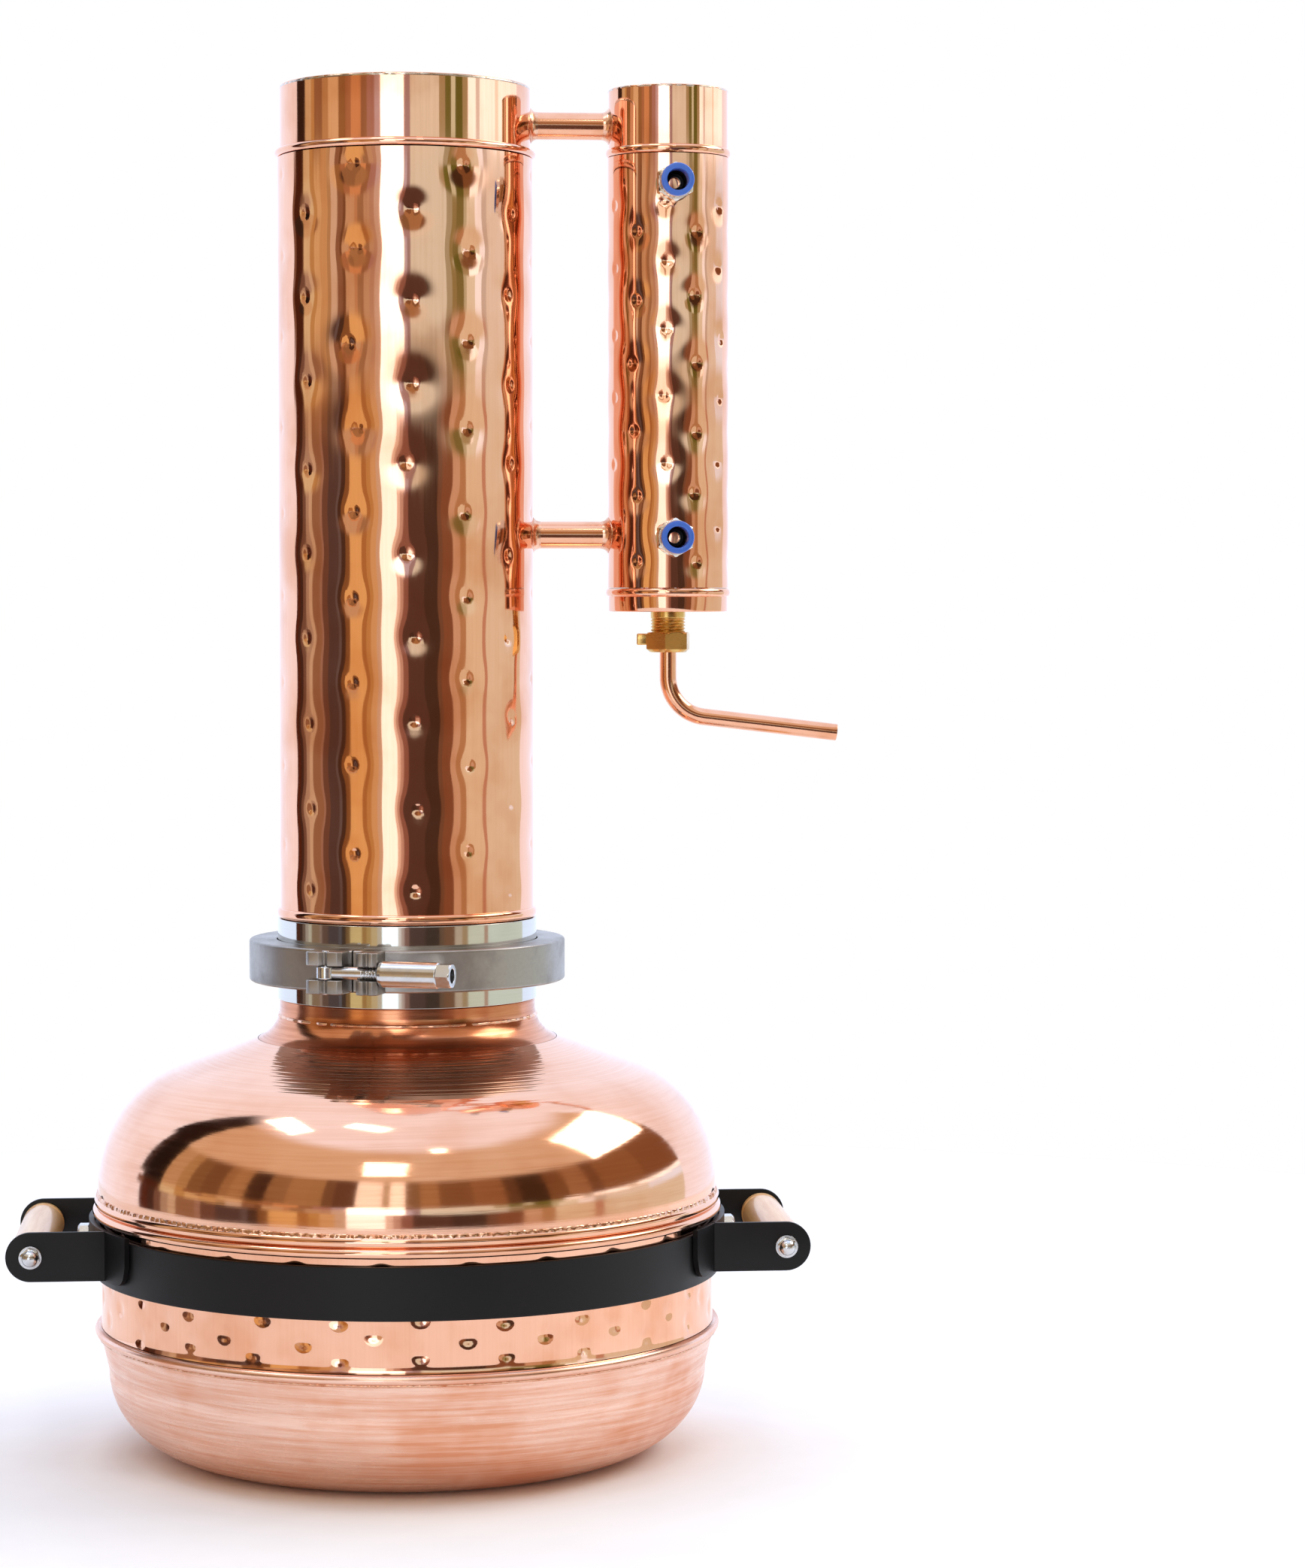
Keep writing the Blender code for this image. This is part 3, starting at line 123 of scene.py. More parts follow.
def rounded(corners: Sequence[Corner], closed: bool = True, steps: int = 4) -> np.ndarray:
    """Outline through corners, each rounded by an arc that touches both of its sides.

    Formula: with a and b the unit vectors from the corner to its neighbours and h half the angle between
    them, the arc touches each side at rounding / tan h, and its centre lies on the halving line at
    rounding / sin h.

    Args:
        corners: Radius, height and rounding of each corner, down the outer side first.
        closed: Whether the outline is a loop; otherwise its ends lie on the axis.
        steps: Parts of each arc.

    Returns:
        Points as an array of radius and height.
    """
    count = len(corners)
    places = np.array([corner[:2] for corner in corners])
    points: list[np.ndarray] = []
    for index, (_, _, rounding) in enumerate(corners):
        place = places[index]
        if rounding <= 0.0 or (not closed and index in (0, count - 1)):
            points.append(place[None, :])
            continue
        a = places[index - 1] - place
        b = places[(index + 1) % count] - place
        a, b = a / np.linalg.norm(a), b / np.linalg.norm(b)
        half = math.acos(float(np.clip(a @ b, -1.0, 1.0))) / 2
        middle = place + (a + b) / np.linalg.norm(a + b) * rounding / math.sin(half)
        start, end = place + a * rounding / math.tan(half), place + b * rounding / math.tan(half)
        share = np.linspace(0.0, 1.0, steps + 1)[:, None]
        chord = start + (end - start) * share - middle
        points.append(middle + chord / np.linalg.norm(chord, axis=1)[:, None] * rounding)
    return np.concatenate(points)


def supported(outline: np.ndarray, closed: bool = True) -> np.ndarray:
    """Outline with a point near both ends of each long side, so that flat walls are shaded flat.

    Args:
        outline: Points of radius and height.
        closed: Whether the outline is a loop.

    Returns:
        The outline with the added points.
    """
    reach = 0.35
    ends = np.roll(outline, -1, axis=0) if closed else outline[1:]
    starts = outline if closed else outline[:-1]
    sides = ends - starts
    lengths = np.linalg.norm(sides, axis=1)
    parts = []
    for start, side, length in zip(starts, sides, lengths):
        parts.append(start)
        if length > 5 * reach:
            parts += [start + side * reach / length, start + side * (1 - reach / length)]
    if not closed:
        parts.append(outline[-1])
    return np.array(parts)


def arc(centre: tuple[float, float], run: float, rise: float, start: float, end: float,
        steps: int) -> np.ndarray:
    """Points of an elliptic arc, both ends included.

    Formula: radius = centre + run cos t and height = centre + rise sin t, for t in degrees from start to end.
    """
    turn = np.radians(np.linspace(start, end, steps + 1))
    return np.stack([centre[0] + run * np.cos(turn), centre[1] + rise * np.sin(turn)], axis=1)


def bead(radius: float, middle: float, out: float, half: float, steps: int = 8) -> np.ndarray:
    """Half-round bead on an outer wall, from its upper edge down to its lower edge."""
    return arc((radius, middle), out, half, 90, -90, steps)


def seam(radius: float, middle: float, out: float, half: float, back: float, root: float,
         steps: int = 8) -> np.ndarray:
    """Closed outline of a soldered or brazed bead whose root lies inside the wall.

    Args:
        radius: Radius at the bead's edges.
        middle: Height of its middle.
        out: How far it stands out.
        half: Half its height.
        back: How far its root reaches inward.
        root: Half the root's height.
        steps: Parts of the bead's arc.

    Returns:
        Points of radius and height.
    """
    return np.concatenate([bead(radius, middle, out, half, steps),
                           [[radius - back, middle - root], [radius - back, middle + root]]])


def ring(inner: float, outer: float, bottom: float, top: float, edge: float = 0.2) -> np.ndarray:
    """Closed outline of a plain ring with rounded edges."""
    corners = [(outer, top, edge), (outer, bottom, edge), (inner, bottom, edge), (inner, top, edge)]
    return supported(rounded(corners))


def solid(radius: float, bottom: float, top: float, edge: float = 0.2) -> np.ndarray:
    """Outline of a plain solid disc or shaft with rounded edges, from axis to axis."""
    corners = [(0.0, top, 0.0), (radius, top, edge), (radius, bottom, edge), (0.0, bottom, 0.0)]
    return supported(rounded(corners, closed=False), closed=False)


def wall(radius: float, top: float, bottom: float, rows: int) -> np.ndarray:
    """Points evenly down an upright wall, both ends included."""
    heights = np.linspace(top, bottom, rows)
    return np.stack([np.full(rows, radius), heights], axis=1)


# ---- fields that shape a turned surface

@dataclass(frozen=True)
class Dents:
    """Hammer marks on a turned wall: a small pit in the middle of a wide shallow hollow.

    Attributes:
        columns: Marks round the wall.
        levels: Heights of the first row's marks, from the top down.
        start: Angle of the first column, in degrees.
        stagger: Drop of every second column.
        reach: Radius of the wall, which turns angles into lengths.
        pit: Pit's radius.
        pit_depth: Pit's depth.
        hollow: Wide hollow's radius.
        hollow_depth: Wide hollow's depth.
        scatter: How far a mark may miss its place.
        outside: Only points further out than this radius are moved.
        power: Steepness of the pit's side; 1 is a soft bell, 2 a punched mark.
    """

    columns: int
    levels: tuple[float, ...]
    start: float
    stagger: float
    reach: float
    pit: float
    pit_depth: float
    hollow: float
    hollow_depth: float
    scatter: float
    outside: float
    power: float = 2.0

    def centres(self) -> tuple[np.ndarray, np.ndarray]:
        """Angles and heights of all the marks, each a little off its place."""
        dice = np.random.default_rng(SEED + self.columns)
        column, level = np.meshgrid(np.arange(self.columns), np.array(self.levels), indexing="ij")
        slips = dice.normal(0.0, self.scatter, (2, *column.shape))
        angle = math.radians(self.start) + column * TAU / self.columns + slips[0] / self.reach
        height = level - (column % 2) * self.stagger + slips[1]
        return angle.ravel(), height.ravel()

    def __call__(self, angle: np.ndarray, radius: np.ndarray, height: np.ndarray) -> np.ndarray:
        """Radius of the dented wall.

        Formula: with d the distance along the wall to a mark, the wall moves in by
        pit depth · exp(-(d / pit)^(2 power)) + hollow depth · exp(-(d / hollow)^2), summed over the marks.
        """
        depth = np.zeros_like(radius)
        for mark_angle, mark_height in zip(*self.centres()):
            across = (np.mod(angle - mark_angle + math.pi, TAU) - math.pi) * self.reach
            distance = across ** 2 + (height - mark_height) ** 2
            near = distance < (3 * self.hollow) ** 2
            near_distance = distance[near]
            depth[near] += self.pit_depth * np.exp(-(near_distance / self.pit ** 2) ** self.power)
            depth[near] += self.hollow_depth * np.exp(-near_distance / self.hollow ** 2)
        return np.where(radius > self.outside, radius - depth, radius)


@dataclass(frozen=True)
class Hexagon:
    """Six flats on a turned piece, whose own outline gives the chamfers.

    Attributes:
        across: Size across the flats.
        turn: Angle of the first flat, in degrees.
        outside: Only points further out than this radius are cut.
    """

    across: float
    turn: float = 0.0
    outside: float = 0.0

    def __call__(self, angle: np.ndarray, radius: np.ndarray, height: np.ndarray) -> np.ndarray:
        """Formula: the smaller of the radius and half the size across / cos(angle from the nearest flat)."""
        step = TAU / 6
        off = np.mod(angle - math.radians(self.turn) + step / 2, step) - step / 2
        flat = self.across / 2 / np.cos(off)
        return np.where(radius > self.outside, np.minimum(radius, flat), radius)


@dataclass(frozen=True)
class Thread:
    """Screw thread on a turned wall.

    Attributes:
        pitch: Distance between turns.
        depth: Depth of the thread.
        bottom: Height where it starts.
        top: Height where it ends.
        outside: Only points further out than this radius are cut.
    """

    pitch: float
    depth: float
    bottom: float
    top: float
    outside: float

    def __call__(self, angle: np.ndarray, radius: np.ndarray, height: np.ndarray) -> np.ndarray:
        """Formula: radius less depth · (1 - cos(turns)) / 2, with turns = height / pitch less angle.

        The thread runs out over one pitch at both of its ends.
        """
        turns = height / self.pitch * TAU - angle
        run_in = np.clip((height - self.bottom) / self.pitch, 0, 1)
        run_out = np.clip((self.top - height) / self.pitch, 0, 1)
        cut = self.depth * (1 - np.cos(turns)) / 2 * run_in * run_out
        return np.where(radius > self.outside, radius - cut, radius)


@dataclass(frozen=True)
class Run:
    """Uneven molten surface of a soldered or brazed ring.

    Attributes:
        height: Size of the unevenness.
        waves: Lowest and highest number of waves round the ring.
        seed: Seed of the waves.
        outside: Only points further out than this radius are moved.
        slope: Turn of the waves per millimetre up the wall.
    """

    height: float
    waves: tuple[int, int]
    seed: int
    outside: float = 0.0
    slope: float = 0.0

    def __call__(self, angle: np.ndarray, radius: np.ndarray, height: np.ndarray) -> np.ndarray:
        """Formula: radius plus a sum of twelve cosines of whole wave numbers with seeded phases."""
        dice = np.random.default_rng(self.seed)
        numbers = dice.integers(*self.waves, 12)
        phases = dice.uniform(0.0, TAU, 12)
        slants = dice.uniform(-self.slope, self.slope, 12)
        waves = (np.cos(n * angle + p + s * height) for n, p, s in zip(numbers, phases, slants))
        total = sum(waves) / 12 ** 0.5
        return np.where(radius > self.outside, radius + self.height * total, radius)


# ---- shapes

@dataclass
class Shape:
    """Closed surface as arrays.

    Attributes:
        vertices: Points, one row each.
        quads: Vertex numbers of the four-sided faces.
        triangles: Vertex numbers of the three-sided faces.
        caps: Vertex numbers of the many-sided end faces.
    """

    vertices: np.ndarray
    quads: np.ndarray
    triangles: np.ndarray = field(default_factory=lambda: np.zeros((0, 3), int))
    caps: list[np.ndarray] = field(default_factory=list)

    @classmethod
    def grid(cls, points: np.ndarray, wrap_rows: bool) -> "Shape":
        """Surface over a grid of points, one quad between each four neighbours.

        A row whose points all coincide is a pole: it becomes one vertex, and its quads become triangles.

        Args:
            points: Array of rows, columns and coordinates; the last column joins the first.
            wrap_rows: Whether the last row joins the first.

        Returns:
            The surface, with its faces outward.
        """
        rows, columns, _ = points.shape
        numbers = np.arange(rows * columns).reshape(rows, columns)
        poles = np.ptp(points, axis=1).max(axis=1) < 1e-6
        numbers[poles] = numbers[poles][:, :1]
        below = np.roll(numbers, -1, axis=0) if wrap_rows else numbers[1:]
        above = numbers if wrap_rows else numbers[:-1]
        quads = np.stack([above, below, np.roll(below, -1, axis=1), np.roll(above, -1, axis=1)], axis=-1)
        quads = quads.reshape(-1, 4)
        top = quads[:, 0] == quads[:, 3]
        foot = quads[:, 1] == quads[:, 2]
        triangles = np.concatenate([quads[top & ~foot][:, [0, 1, 2]], quads[foot & ~top][:, [0, 1, 3]]])
        return cls(points.reshape(-1, 3), quads[~(top | foot)], triangles).trimmed().outward()

    @classmethod
    def loft(cls, sections: np.ndarray) -> "Shape":
        """Solid through closed sections, with an end face at the first and at the last one.

        An end face runs round against the edge that it shares with the quads, whose way round their first
        corner tells.
        """
        count, size, _ = sections.shape
        made = cls.grid(sections, wrap_rows=False)
        made.caps = [np.arange(size), np.arange((count - 1) * size, count * size)[::-1]]
        if made.quads[0][0] != 0:
            made.caps = [cap[::-1] for cap in made.caps]
        return made.outward()

    @classmethod
    def turned(cls, outline: np.ndarray, columns: int = 96, closed: bool = True,
               field_of: Optional[Field] = None) -> "Shape":
        """Surface of revolution.

        Formula: x = r cos a, y = r sin a, z = height, with a the angle round the axis.

        Args:
            outline: Points of radius and height; a loop, or from axis to axis.
            columns: Steps round the axis.
            closed: Whether the outline is a loop.
            field_of: Changes the radius by angle and height.

        Returns:
            The surface about the Z axis.
        """
        angle = np.arange(columns) * TAU / columns
        radius = np.repeat(outline[:, :1], columns, axis=1)
        height = np.repeat(outline[:, 1:2], columns, axis=1)
        if field_of is not None:
            radius = field_of(np.broadcast_to(angle, radius.shape), radius, height)
        points = np.stack([radius * np.cos(angle), radius * np.sin(angle), height], axis=-1)
        return cls.grid(points, wrap_rows=closed)

    @classmethod
    def lathed(cls, corners: Sequence[Corner], columns: int, closed: bool = True, steps: int = 4,
               field_of: Optional[Field] = None) -> "Shape":
        """Surface of revolution through rounded corners.

        Args:
            corners: Radius, height and rounding of each corner.
            columns: Steps round the axis.
            closed: Whether the corners make a loop; otherwise they run from axis to axis.
            steps: Parts of each rounding.
            field_of: Changes the radius by angle and height.

        Returns:
            The surface about the Z axis.
        """
        outline = supported(rounded(corners, closed, steps), closed)
        return cls.turned(outline, columns, closed, field_of)

    @classmethod
    def slab(cls, outline: np.ndarray, thickness: float, edge: float) -> "Shape":
        """Flat plate in the XY plane about height 0, with rounded edges.

        Formula: each section is the outline moved in along its normal by edge (1 - sin t) at the height
        thickness / 2 - edge (1 - cos t), for t from 0 to 90 degrees at the top and mirrored at the bottom.
        """
        before, after = np.roll(outline, 1, axis=0), np.roll(outline, -1, axis=0)
        along = after - before
        normal = np.stack([along[:, 1], -along[:, 0]], axis=1)
        normal /= np.linalg.norm(normal, axis=1)[:, None]
        turn = np.radians(np.linspace(0, 90, 4))
        inset = edge * (1 - np.sin(turn))
        level = thickness / 2 - edge * (1 - np.cos(turn))
        insets, levels = np.concatenate([inset, inset[::-1]]), np.concatenate([level, -level[::-1]])
        flat = outline[None] - normal[None] * insets[:, None, None]
        heights = np.broadcast_to(levels[:, None, None], (*flat.shape[:2], 1))
        return cls.loft(np.concatenate([flat, heights], axis=2))

    @classmethod
    def pipe(cls, path: np.ndarray, outer: float, inner: float, columns: int) -> "Shape":
        """Open pipe along a path that lies in the XZ plane.

        Formula: each station is a circle of the radius in the plane of Y and the path's normal; the stations
        run down the outside of the wall and back up its inside.

        Args:
            path: Points of the middle line.
            outer: Outer radius.
            inner: Bore's radius.
            columns: Steps round the pipe.

        Returns:
            The pipe with its wall, whose ends are a little rounded.
        """
        edge = 0.2
        along = np.gradient(path, axis=0)
        along /= np.linalg.norm(along, axis=1)[:, None]
        start = np.array([path[0] + along[0] * edge * k for k in (1.0, 0.3, 0.0)])
        end = np.array([path[-1] - along[-1] * edge * k for k in (0.0, 0.3, 1.0)])
        middle = np.concatenate([start, path[1:-1], end[::-1]])
        ways = np.concatenate([np.repeat(along[:1], 3, axis=0), along[1:-1],
                               np.repeat(along[-1:], 3, axis=0)])
        radii = np.full(len(middle), outer)
        radii[[2, -1]] -= edge
        radii[[1, -2]] -= 0.3 * edge
        order = [2, 1, 0, *range(3, len(middle) - 3), len(middle) - 3, len(middle) - 2, len(middle) - 1]
        middle, ways, radii = middle[order], ways[order], radii[order]
        middle = np.concatenate([middle, middle[::-1]])
        ways = np.concatenate([ways, ways[::-1]])
        radii = np.concatenate([radii, np.full(len(radii), inner)])
        normal = np.stack([-ways[:, 2], np.zeros(len(ways)), ways[:, 0]], axis=1)
        side = np.array([0.0, 1.0, 0.0])
        turn = np.arange(columns) * TAU / columns
        circle = normal[:, None] * np.cos(turn)[:, None] + side * np.sin(turn)[:, None]
        return cls.grid(middle[:, None] + radii[:, None, None] * circle, wrap_rows=True)

    def trimmed(self) -> "Shape":
        """The same surface without vertices that no face uses."""
        used = np.unique(np.concatenate([self.quads.ravel(), self.triangles.ravel()]))
        renumber = np.zeros(len(self.vertices), int)
        renumber[used] = np.arange(len(used))
        return Shape(self.vertices[used], renumber[self.quads], renumber[self.triangles])

    def volume(self) -> float:
        """Signed volume: a sixth of the sum of a · (b x c) over the triangles; positive if they face out."""
        fans = [np.stack([np.full(len(cap) - 2, cap[0]), cap[1:-1], cap[2:]], axis=1) for cap in self.caps]
        halves = self.quads[:, [0, 1, 2]], self.quads[:, [0, 2, 3]]
        corners = np.concatenate([*halves, self.triangles, *fans])
        a, b, c = (self.vertices[corners[:, k]] for k in range(3))
        return float(np.einsum("ij,ij->", a, np.cross(b, c)) / 6)

    def outward(self) -> "Shape":
        """The same surface with its faces turned outward."""
        if self.volume() >= 0:
            return self
        caps = [cap[::-1] for cap in self.caps]
        return Shape(self.vertices, self.quads[:, ::-1], self.triangles[:, ::-1], caps)

    def placed(self, matrix: Matrix) -> "Shape":
        """The same surface, moved by a placement."""
        vertices = self.vertices @ np.array(matrix.to_3x3()).T + np.array(matrix.translation)
        return Shape(vertices, self.quads, self.triangles, self.caps)

    def joined(self, *others: "Shape") -> "Shape":
        """This surface and others as the separate bodies of one piece."""
        parts, start = [self, *others], 0
        quads, triangles, caps = [], [], []
        for part in parts:
            quads.append(part.quads + start)
            triangles.append(part.triangles + start)
            caps += [cap + start for cap in part.caps]
            start += len(part.vertices)
        vertices = np.concatenate([part.vertices for part in parts])
        return Shape(vertices, np.concatenate(quads), np.concatenate(triangles), caps)

    def mesh(self, name: str) -> bpy.types.Mesh:
        """Blender mesh, shaded smooth except over its sharp edges."""
        mesh = bpy.data.meshes.new(name)
        corners = np.concatenate([self.quads.ravel(), self.triangles.ravel(), *self.caps]).astype(np.int32)
        sizes = [4] * len(self.quads) + [3] * len(self.triangles) + [len(cap) for cap in self.caps]
        starts = np.concatenate([[0], np.cumsum(sizes)[:-1]]).astype(np.int32)
        mesh.vertices.add(len(self.vertices))
        mesh.vertices.foreach_set("co", (self.vertices * MM).astype(np.float32).ravel())
        mesh.loops.add(len(corners))
        mesh.loops.foreach_set("vertex_index", corners)
        mesh.polygons.add(len(sizes))
        mesh.polygons.foreach_set("loop_start", starts)
        mesh.update(calc_edges=True)
        mesh.validate()
        mesh.shade_smooth()
        mesh.set_sharp_from_angle(angle=math.radians(SHARP_FROM))
        return mesh


# ---- finishes

def linear(code: str) -> tuple[float, float, float, float]:
    """Linear colour of an sRGB hex value such as "#C8623C"."""
    parts = [int(code[k:k + 2], 16) / 255 for k in (1, 3, 5)]
    values = [p / 12.92 if p <= 0.04045 else ((p + 0.055) / 1.055) ** 2.4 for p in parts]
    return (*values, 1.0)


def node(tree: bpy.types.NodeTree, kind: str, inputs: Optional[dict] = None, **settings) -> bpy.types.Node:
    """Add a shader node with its settings, its values and its links.

    Args:
        tree: Node tree to add to.
        kind: Node's type name without the prefix that all shader nodes share.
        inputs: Value, or output socket to link from, of each input by name or number. A Map Range takes its
            value as 0, the span it reads as 1 and 2, and the span it gives as 3 and 4.
        settings: Properties of the node.

    Returns:
        The new node.
    """
    made = tree.nodes.new(f"ShaderNode{kind}")
    for name, value in settings.items():
        setattr(made, name, value)
    for key, value in (inputs or {}).items():
        if isinstance(value, bpy.types.NodeSocket):
            tree.links.new(value, made.inputs[key])
        else:
            made.inputs[key].default_value = value
    return made


def set_stops(ramp: bpy.types.Node, stops: Sequence[tuple[float, str]]) -> bpy.types.Node:
    """Give a colour ramp its stops, each a position and an sRGB hex value."""
    elements = ramp.color_ramp.elements
    while len(elements) < len(stops):
        elements.new(1.0)
    for element, (position, code) in zip(elements, stops):
        element.position = position
        element.color = linear(code)
    return ramp


def blank(name: str) -> tuple[bpy.types.Material, bpy.types.Node]:
    """New material with a Principled shader, and that shader."""
    material = bpy.data.materials.new(name)
    material.use_nodes = True
    return material, material.node_tree.nodes["Principled BSDF"]


def add_bump(tree: bpy.types.NodeTree, shader: bpy.types.Node, height: bpy.types.NodeSocket,
             depth: float) -> None:
    """Let a pattern, from 0 to 1, raise the shaded surface by up to the depth."""
    bump = node(tree, "Bump", {"Height": height, "Distance": depth, "Strength": 1.0})
    tree.links.new(bump.outputs[0], shader.inputs["Normal"])


class Grain(Enum):
    """How a metal's surface was worked: squeeze of its fine marks along X, Y and Z."""

    TURNED = (0.035, 0.035, 1.0)    # rings round an upright axis
    DRAWN = (1.0, 1.0, 0.02)        # lines along the height
    LONG = (0.03, 1.0, 1.0)         # lines along X
    CAST = (1.0, 1.0, 1.0)          # even in all directions


@dataclass(frozen=True)
class Metal:
    """Bare or plated metal. Lengths in finishes are metres, as a material reads its places.

    Attributes:
        name: The real metal and its process.
        colour: Clean colour.
        stain: Colour of the duller, older patches.
        roughness: Roughness of the clean metal.
        spread: Added roughness of the dull patches.
        grain: Run of the fine marks.
        mark: Spacing of the fine marks.
        depth: Depth of the fine marks.
        patch: Size of the dull patches.
        share: Weight of the stain colour, from 0 to 1.
        streak: Weight of the stain colour along the fine marks.
        axis: X of the upright axis that rings run round.
    """

    name: str
    colour: str
    stain: str
    roughness: float
    spread: float
    grain: Grain
    mark: float
    depth: float
    patch: float = 60 * MM
    share: float = 0.5
    streak: float = 0.15
    axis: float = 0.0

    def marks_place(self, tree: bpy.types.NodeTree, place: bpy.types.NodeSocket) -> bpy.types.NodeSocket:
        """Coordinates that the fine marks are drawn on.

        Formula: the place times the grain's squeeze; for rings, the distance from the axis is added to X.
        """
        if self.grain is not Grain.TURNED:
            return node(tree, "VectorMath", {0: place, 1: self.grain.value}, operation="MULTIPLY").outputs[0]
        axis = (self.axis, 0.0, 0.0)
        centred = node(tree, "VectorMath", {0: place, 1: axis}, operation="SUBTRACT").outputs[0]
        x, y, _ = node(tree, "SeparateXYZ", {0: centred}).outputs
        across = node(tree, "CombineXYZ", {0: x, 1: y}).outputs[0]
        radius = node(tree, "VectorMath", {0: across}, operation="LENGTH").outputs["Value"]
        rings = node(tree, "CombineXYZ", {0: radius}).outputs[0]
        slow = node(tree, "VectorMath", {0: centred, 1: self.grain.value}, operation="MULTIPLY").outputs[0]
        return node(tree, "VectorMath", {0: slow, 1: rings}, operation="ADD").outputs[0]

    def build(self) -> bpy.types.Material:
        """Make the material: stained colour, patchy roughness and fine directed marks."""
        material, shader = blank(self.name)
        tree = material.node_tree
        shader.inputs["Metallic"].default_value = 1.0
        place = node(tree, "TexCoord").outputs["Object"]
        patches = node(tree, "TexNoise", {"Vector": place, "Scale": 1 / self.patch, "Detail": 3.0,
                                          "Roughness": 0.55}).outputs["Fac"]
        lines = node(tree, "TexNoise", {"Vector": self.marks_place(tree, place), "Scale": 0.5 / self.mark,
                                        "Detail": 4.0, "Roughness": 0.65}).outputs["Fac"]

        dull = node(tree, "MapRange", {0: patches, 1: 0.42, 2: 0.72, 3: 0.0, 4: self.share},
                    interpolation_type="SMOOTHSTEP")
        worn = node(tree, "MapRange", {0: lines, 1: 0.38, 2: 0.66, 3: 0.0, 4: self.streak})
        stained = node(tree, "Math", {0: dull.outputs[0], 1: worn.outputs[0]}, operation="ADD",
                       use_clamp=True)
        blend = node(tree, "Mix", {0: stained.outputs[0], 6: linear(self.colour), 7: linear(self.stain)},
                     data_type="RGBA")
        tree.links.new(blend.outputs[2], shader.inputs["Base Color"])
        uneven = node(tree, "Math", {0: patches, 1: lines}, operation="MULTIPLY")
        rough = node(tree, "MapRange", {0: uneven.outputs[0], 1: 0.12, 2: 0.40, 3: self.roughness,
                                        4: self.roughness + self.spread})
        tree.links.new(rough.outputs[0], shader.inputs["Roughness"])
        add_bump(tree, shader, lines, self.depth)
        return material


@dataclass(frozen=True)
class Beech:
    """Steamed beech, turned along Y and lacquered.

    Attributes:
        name: Material's name.
        light: Colour of the early wood.
        dark: Colour of the late wood.
        fleck: Colour of the short ray flecks.
        ring: Width of a growth ring.
        ray: Spacing of the ray flecks.
    """

    name: str = "beech_turned_lacquered"
    light: str = "#F2C47E"
    dark: str = "#DCA055"
    fleck: str = "#A9713A"
    ring: float = 2.6 * MM
    ray: float = MM / 1.9

    def build(self) -> bpy.types.Material:
        """Make the material: long growth bands, short darker ray flecks and a thin lacquer coat."""
        material, shader = blank(self.name)
        tree = material.node_tree
        place = node(tree, "TexCoord").outputs["Object"]
        long = node(tree, "VectorMath", {0: place, 1: (1.0, 0.06, 1.0)}, operation="MULTIPLY").outputs[0]
        bands = node(tree, "TexNoise", {"Vector": long, "Scale": 0.5 / self.ring, "Detail": 5.0,
                                        "Roughness": 0.6, "Distortion": 0.3}).outputs["Fac"]
        base = set_stops(node(tree, "ValToRGB", {0: bands}), [(0.32, self.light), (0.68, self.dark)])
        short = node(tree, "VectorMath", {0: place, 1: (1.0, 0.22, 1.0)}, operation="MULTIPLY").outputs[0]
        rays = node(tree, "TexNoise", {"Vector": short, "Scale": 1 / self.ray, "Detail": 1.0}).outputs["Fac"]
        mask = node(tree, "MapRange", {0: rays, 1: 0.66, 2: 0.74, 3: 0.0, 4: 0.55}).outputs[0]
        blend = node(tree, "Mix", {0: mask, 6: base.outputs[0], 7: linear(self.fleck)}, data_type="RGBA")
        tree.links.new(blend.outputs[2], shader.inputs["Base Color"])
        shader.inputs["IOR"].default_value = 1.5
        shader.inputs["Coat Weight"].default_value = 0.6
        shader.inputs["Coat Roughness"].default_value = 0.12
        rough = node(tree, "MapRange", {0: bands, 3: 0.34, 4: 0.5})
        tree.links.new(rough.outputs[0], shader.inputs["Roughness"])
        add_bump(tree, shader, bands, 0.08 * MM)
        return material


@dataclass(frozen=True)
class Coated:
    """Coating, plastic or rubber: one colour with a fine skin.

    Attributes:
        name: The real material and its process.
        colour: Colour.
        shade: Colour of its slightly darker patches.
        roughness: Lowest roughness.
        spread: Added roughness of the duller patches.
        grit: Size of the skin's grain.
        depth: Depth of the skin's grain.
        ior: Index of refraction.
        glow: Weight of light scattered under the skin.
    """

    name: str
    colour: str
    shade: str
    roughness: float
    spread: float
    grit: float
    depth: float
    ior: float = 1.5
    glow: float = 0.0

    def build(self) -> bpy.types.Material:
        """Make the material: patchy colour and roughness over an even skin."""
        material, shader = blank(self.name)
        tree = material.node_tree
        shader.inputs["IOR"].default_value = self.ior
        if self.glow:
            shader.inputs["Subsurface Weight"].default_value = self.glow
            shader.inputs["Subsurface Scale"].default_value = 1.5 * MM
        place = node(tree, "TexCoord").outputs["Object"]
        patches = node(tree, "TexNoise", {"Vector": place, "Scale": 35.0, "Detail": 4.0}).outputs["Fac"]
        base = set_stops(node(tree, "ValToRGB", {0: patches}), [(0.35, self.shade), (0.65, self.colour)])
        tree.links.new(base.outputs[0], shader.inputs["Base Color"])
        rough = node(tree, "MapRange", {0: patches, 1: 0.3, 2: 0.7, 3: self.roughness,
                                        4: self.roughness + self.spread})
        tree.links.new(rough.outputs[0], shader.inputs["Roughness"])
        skin = node(tree, "TexNoise", {"Vector": place, "Scale": 0.5 / self.grit, "Detail": 2.0})
        add_bump(tree, shader, skin.outputs["Fac"], self.depth)
        return material


CONDENSER = Extent.of("condenser_shell")


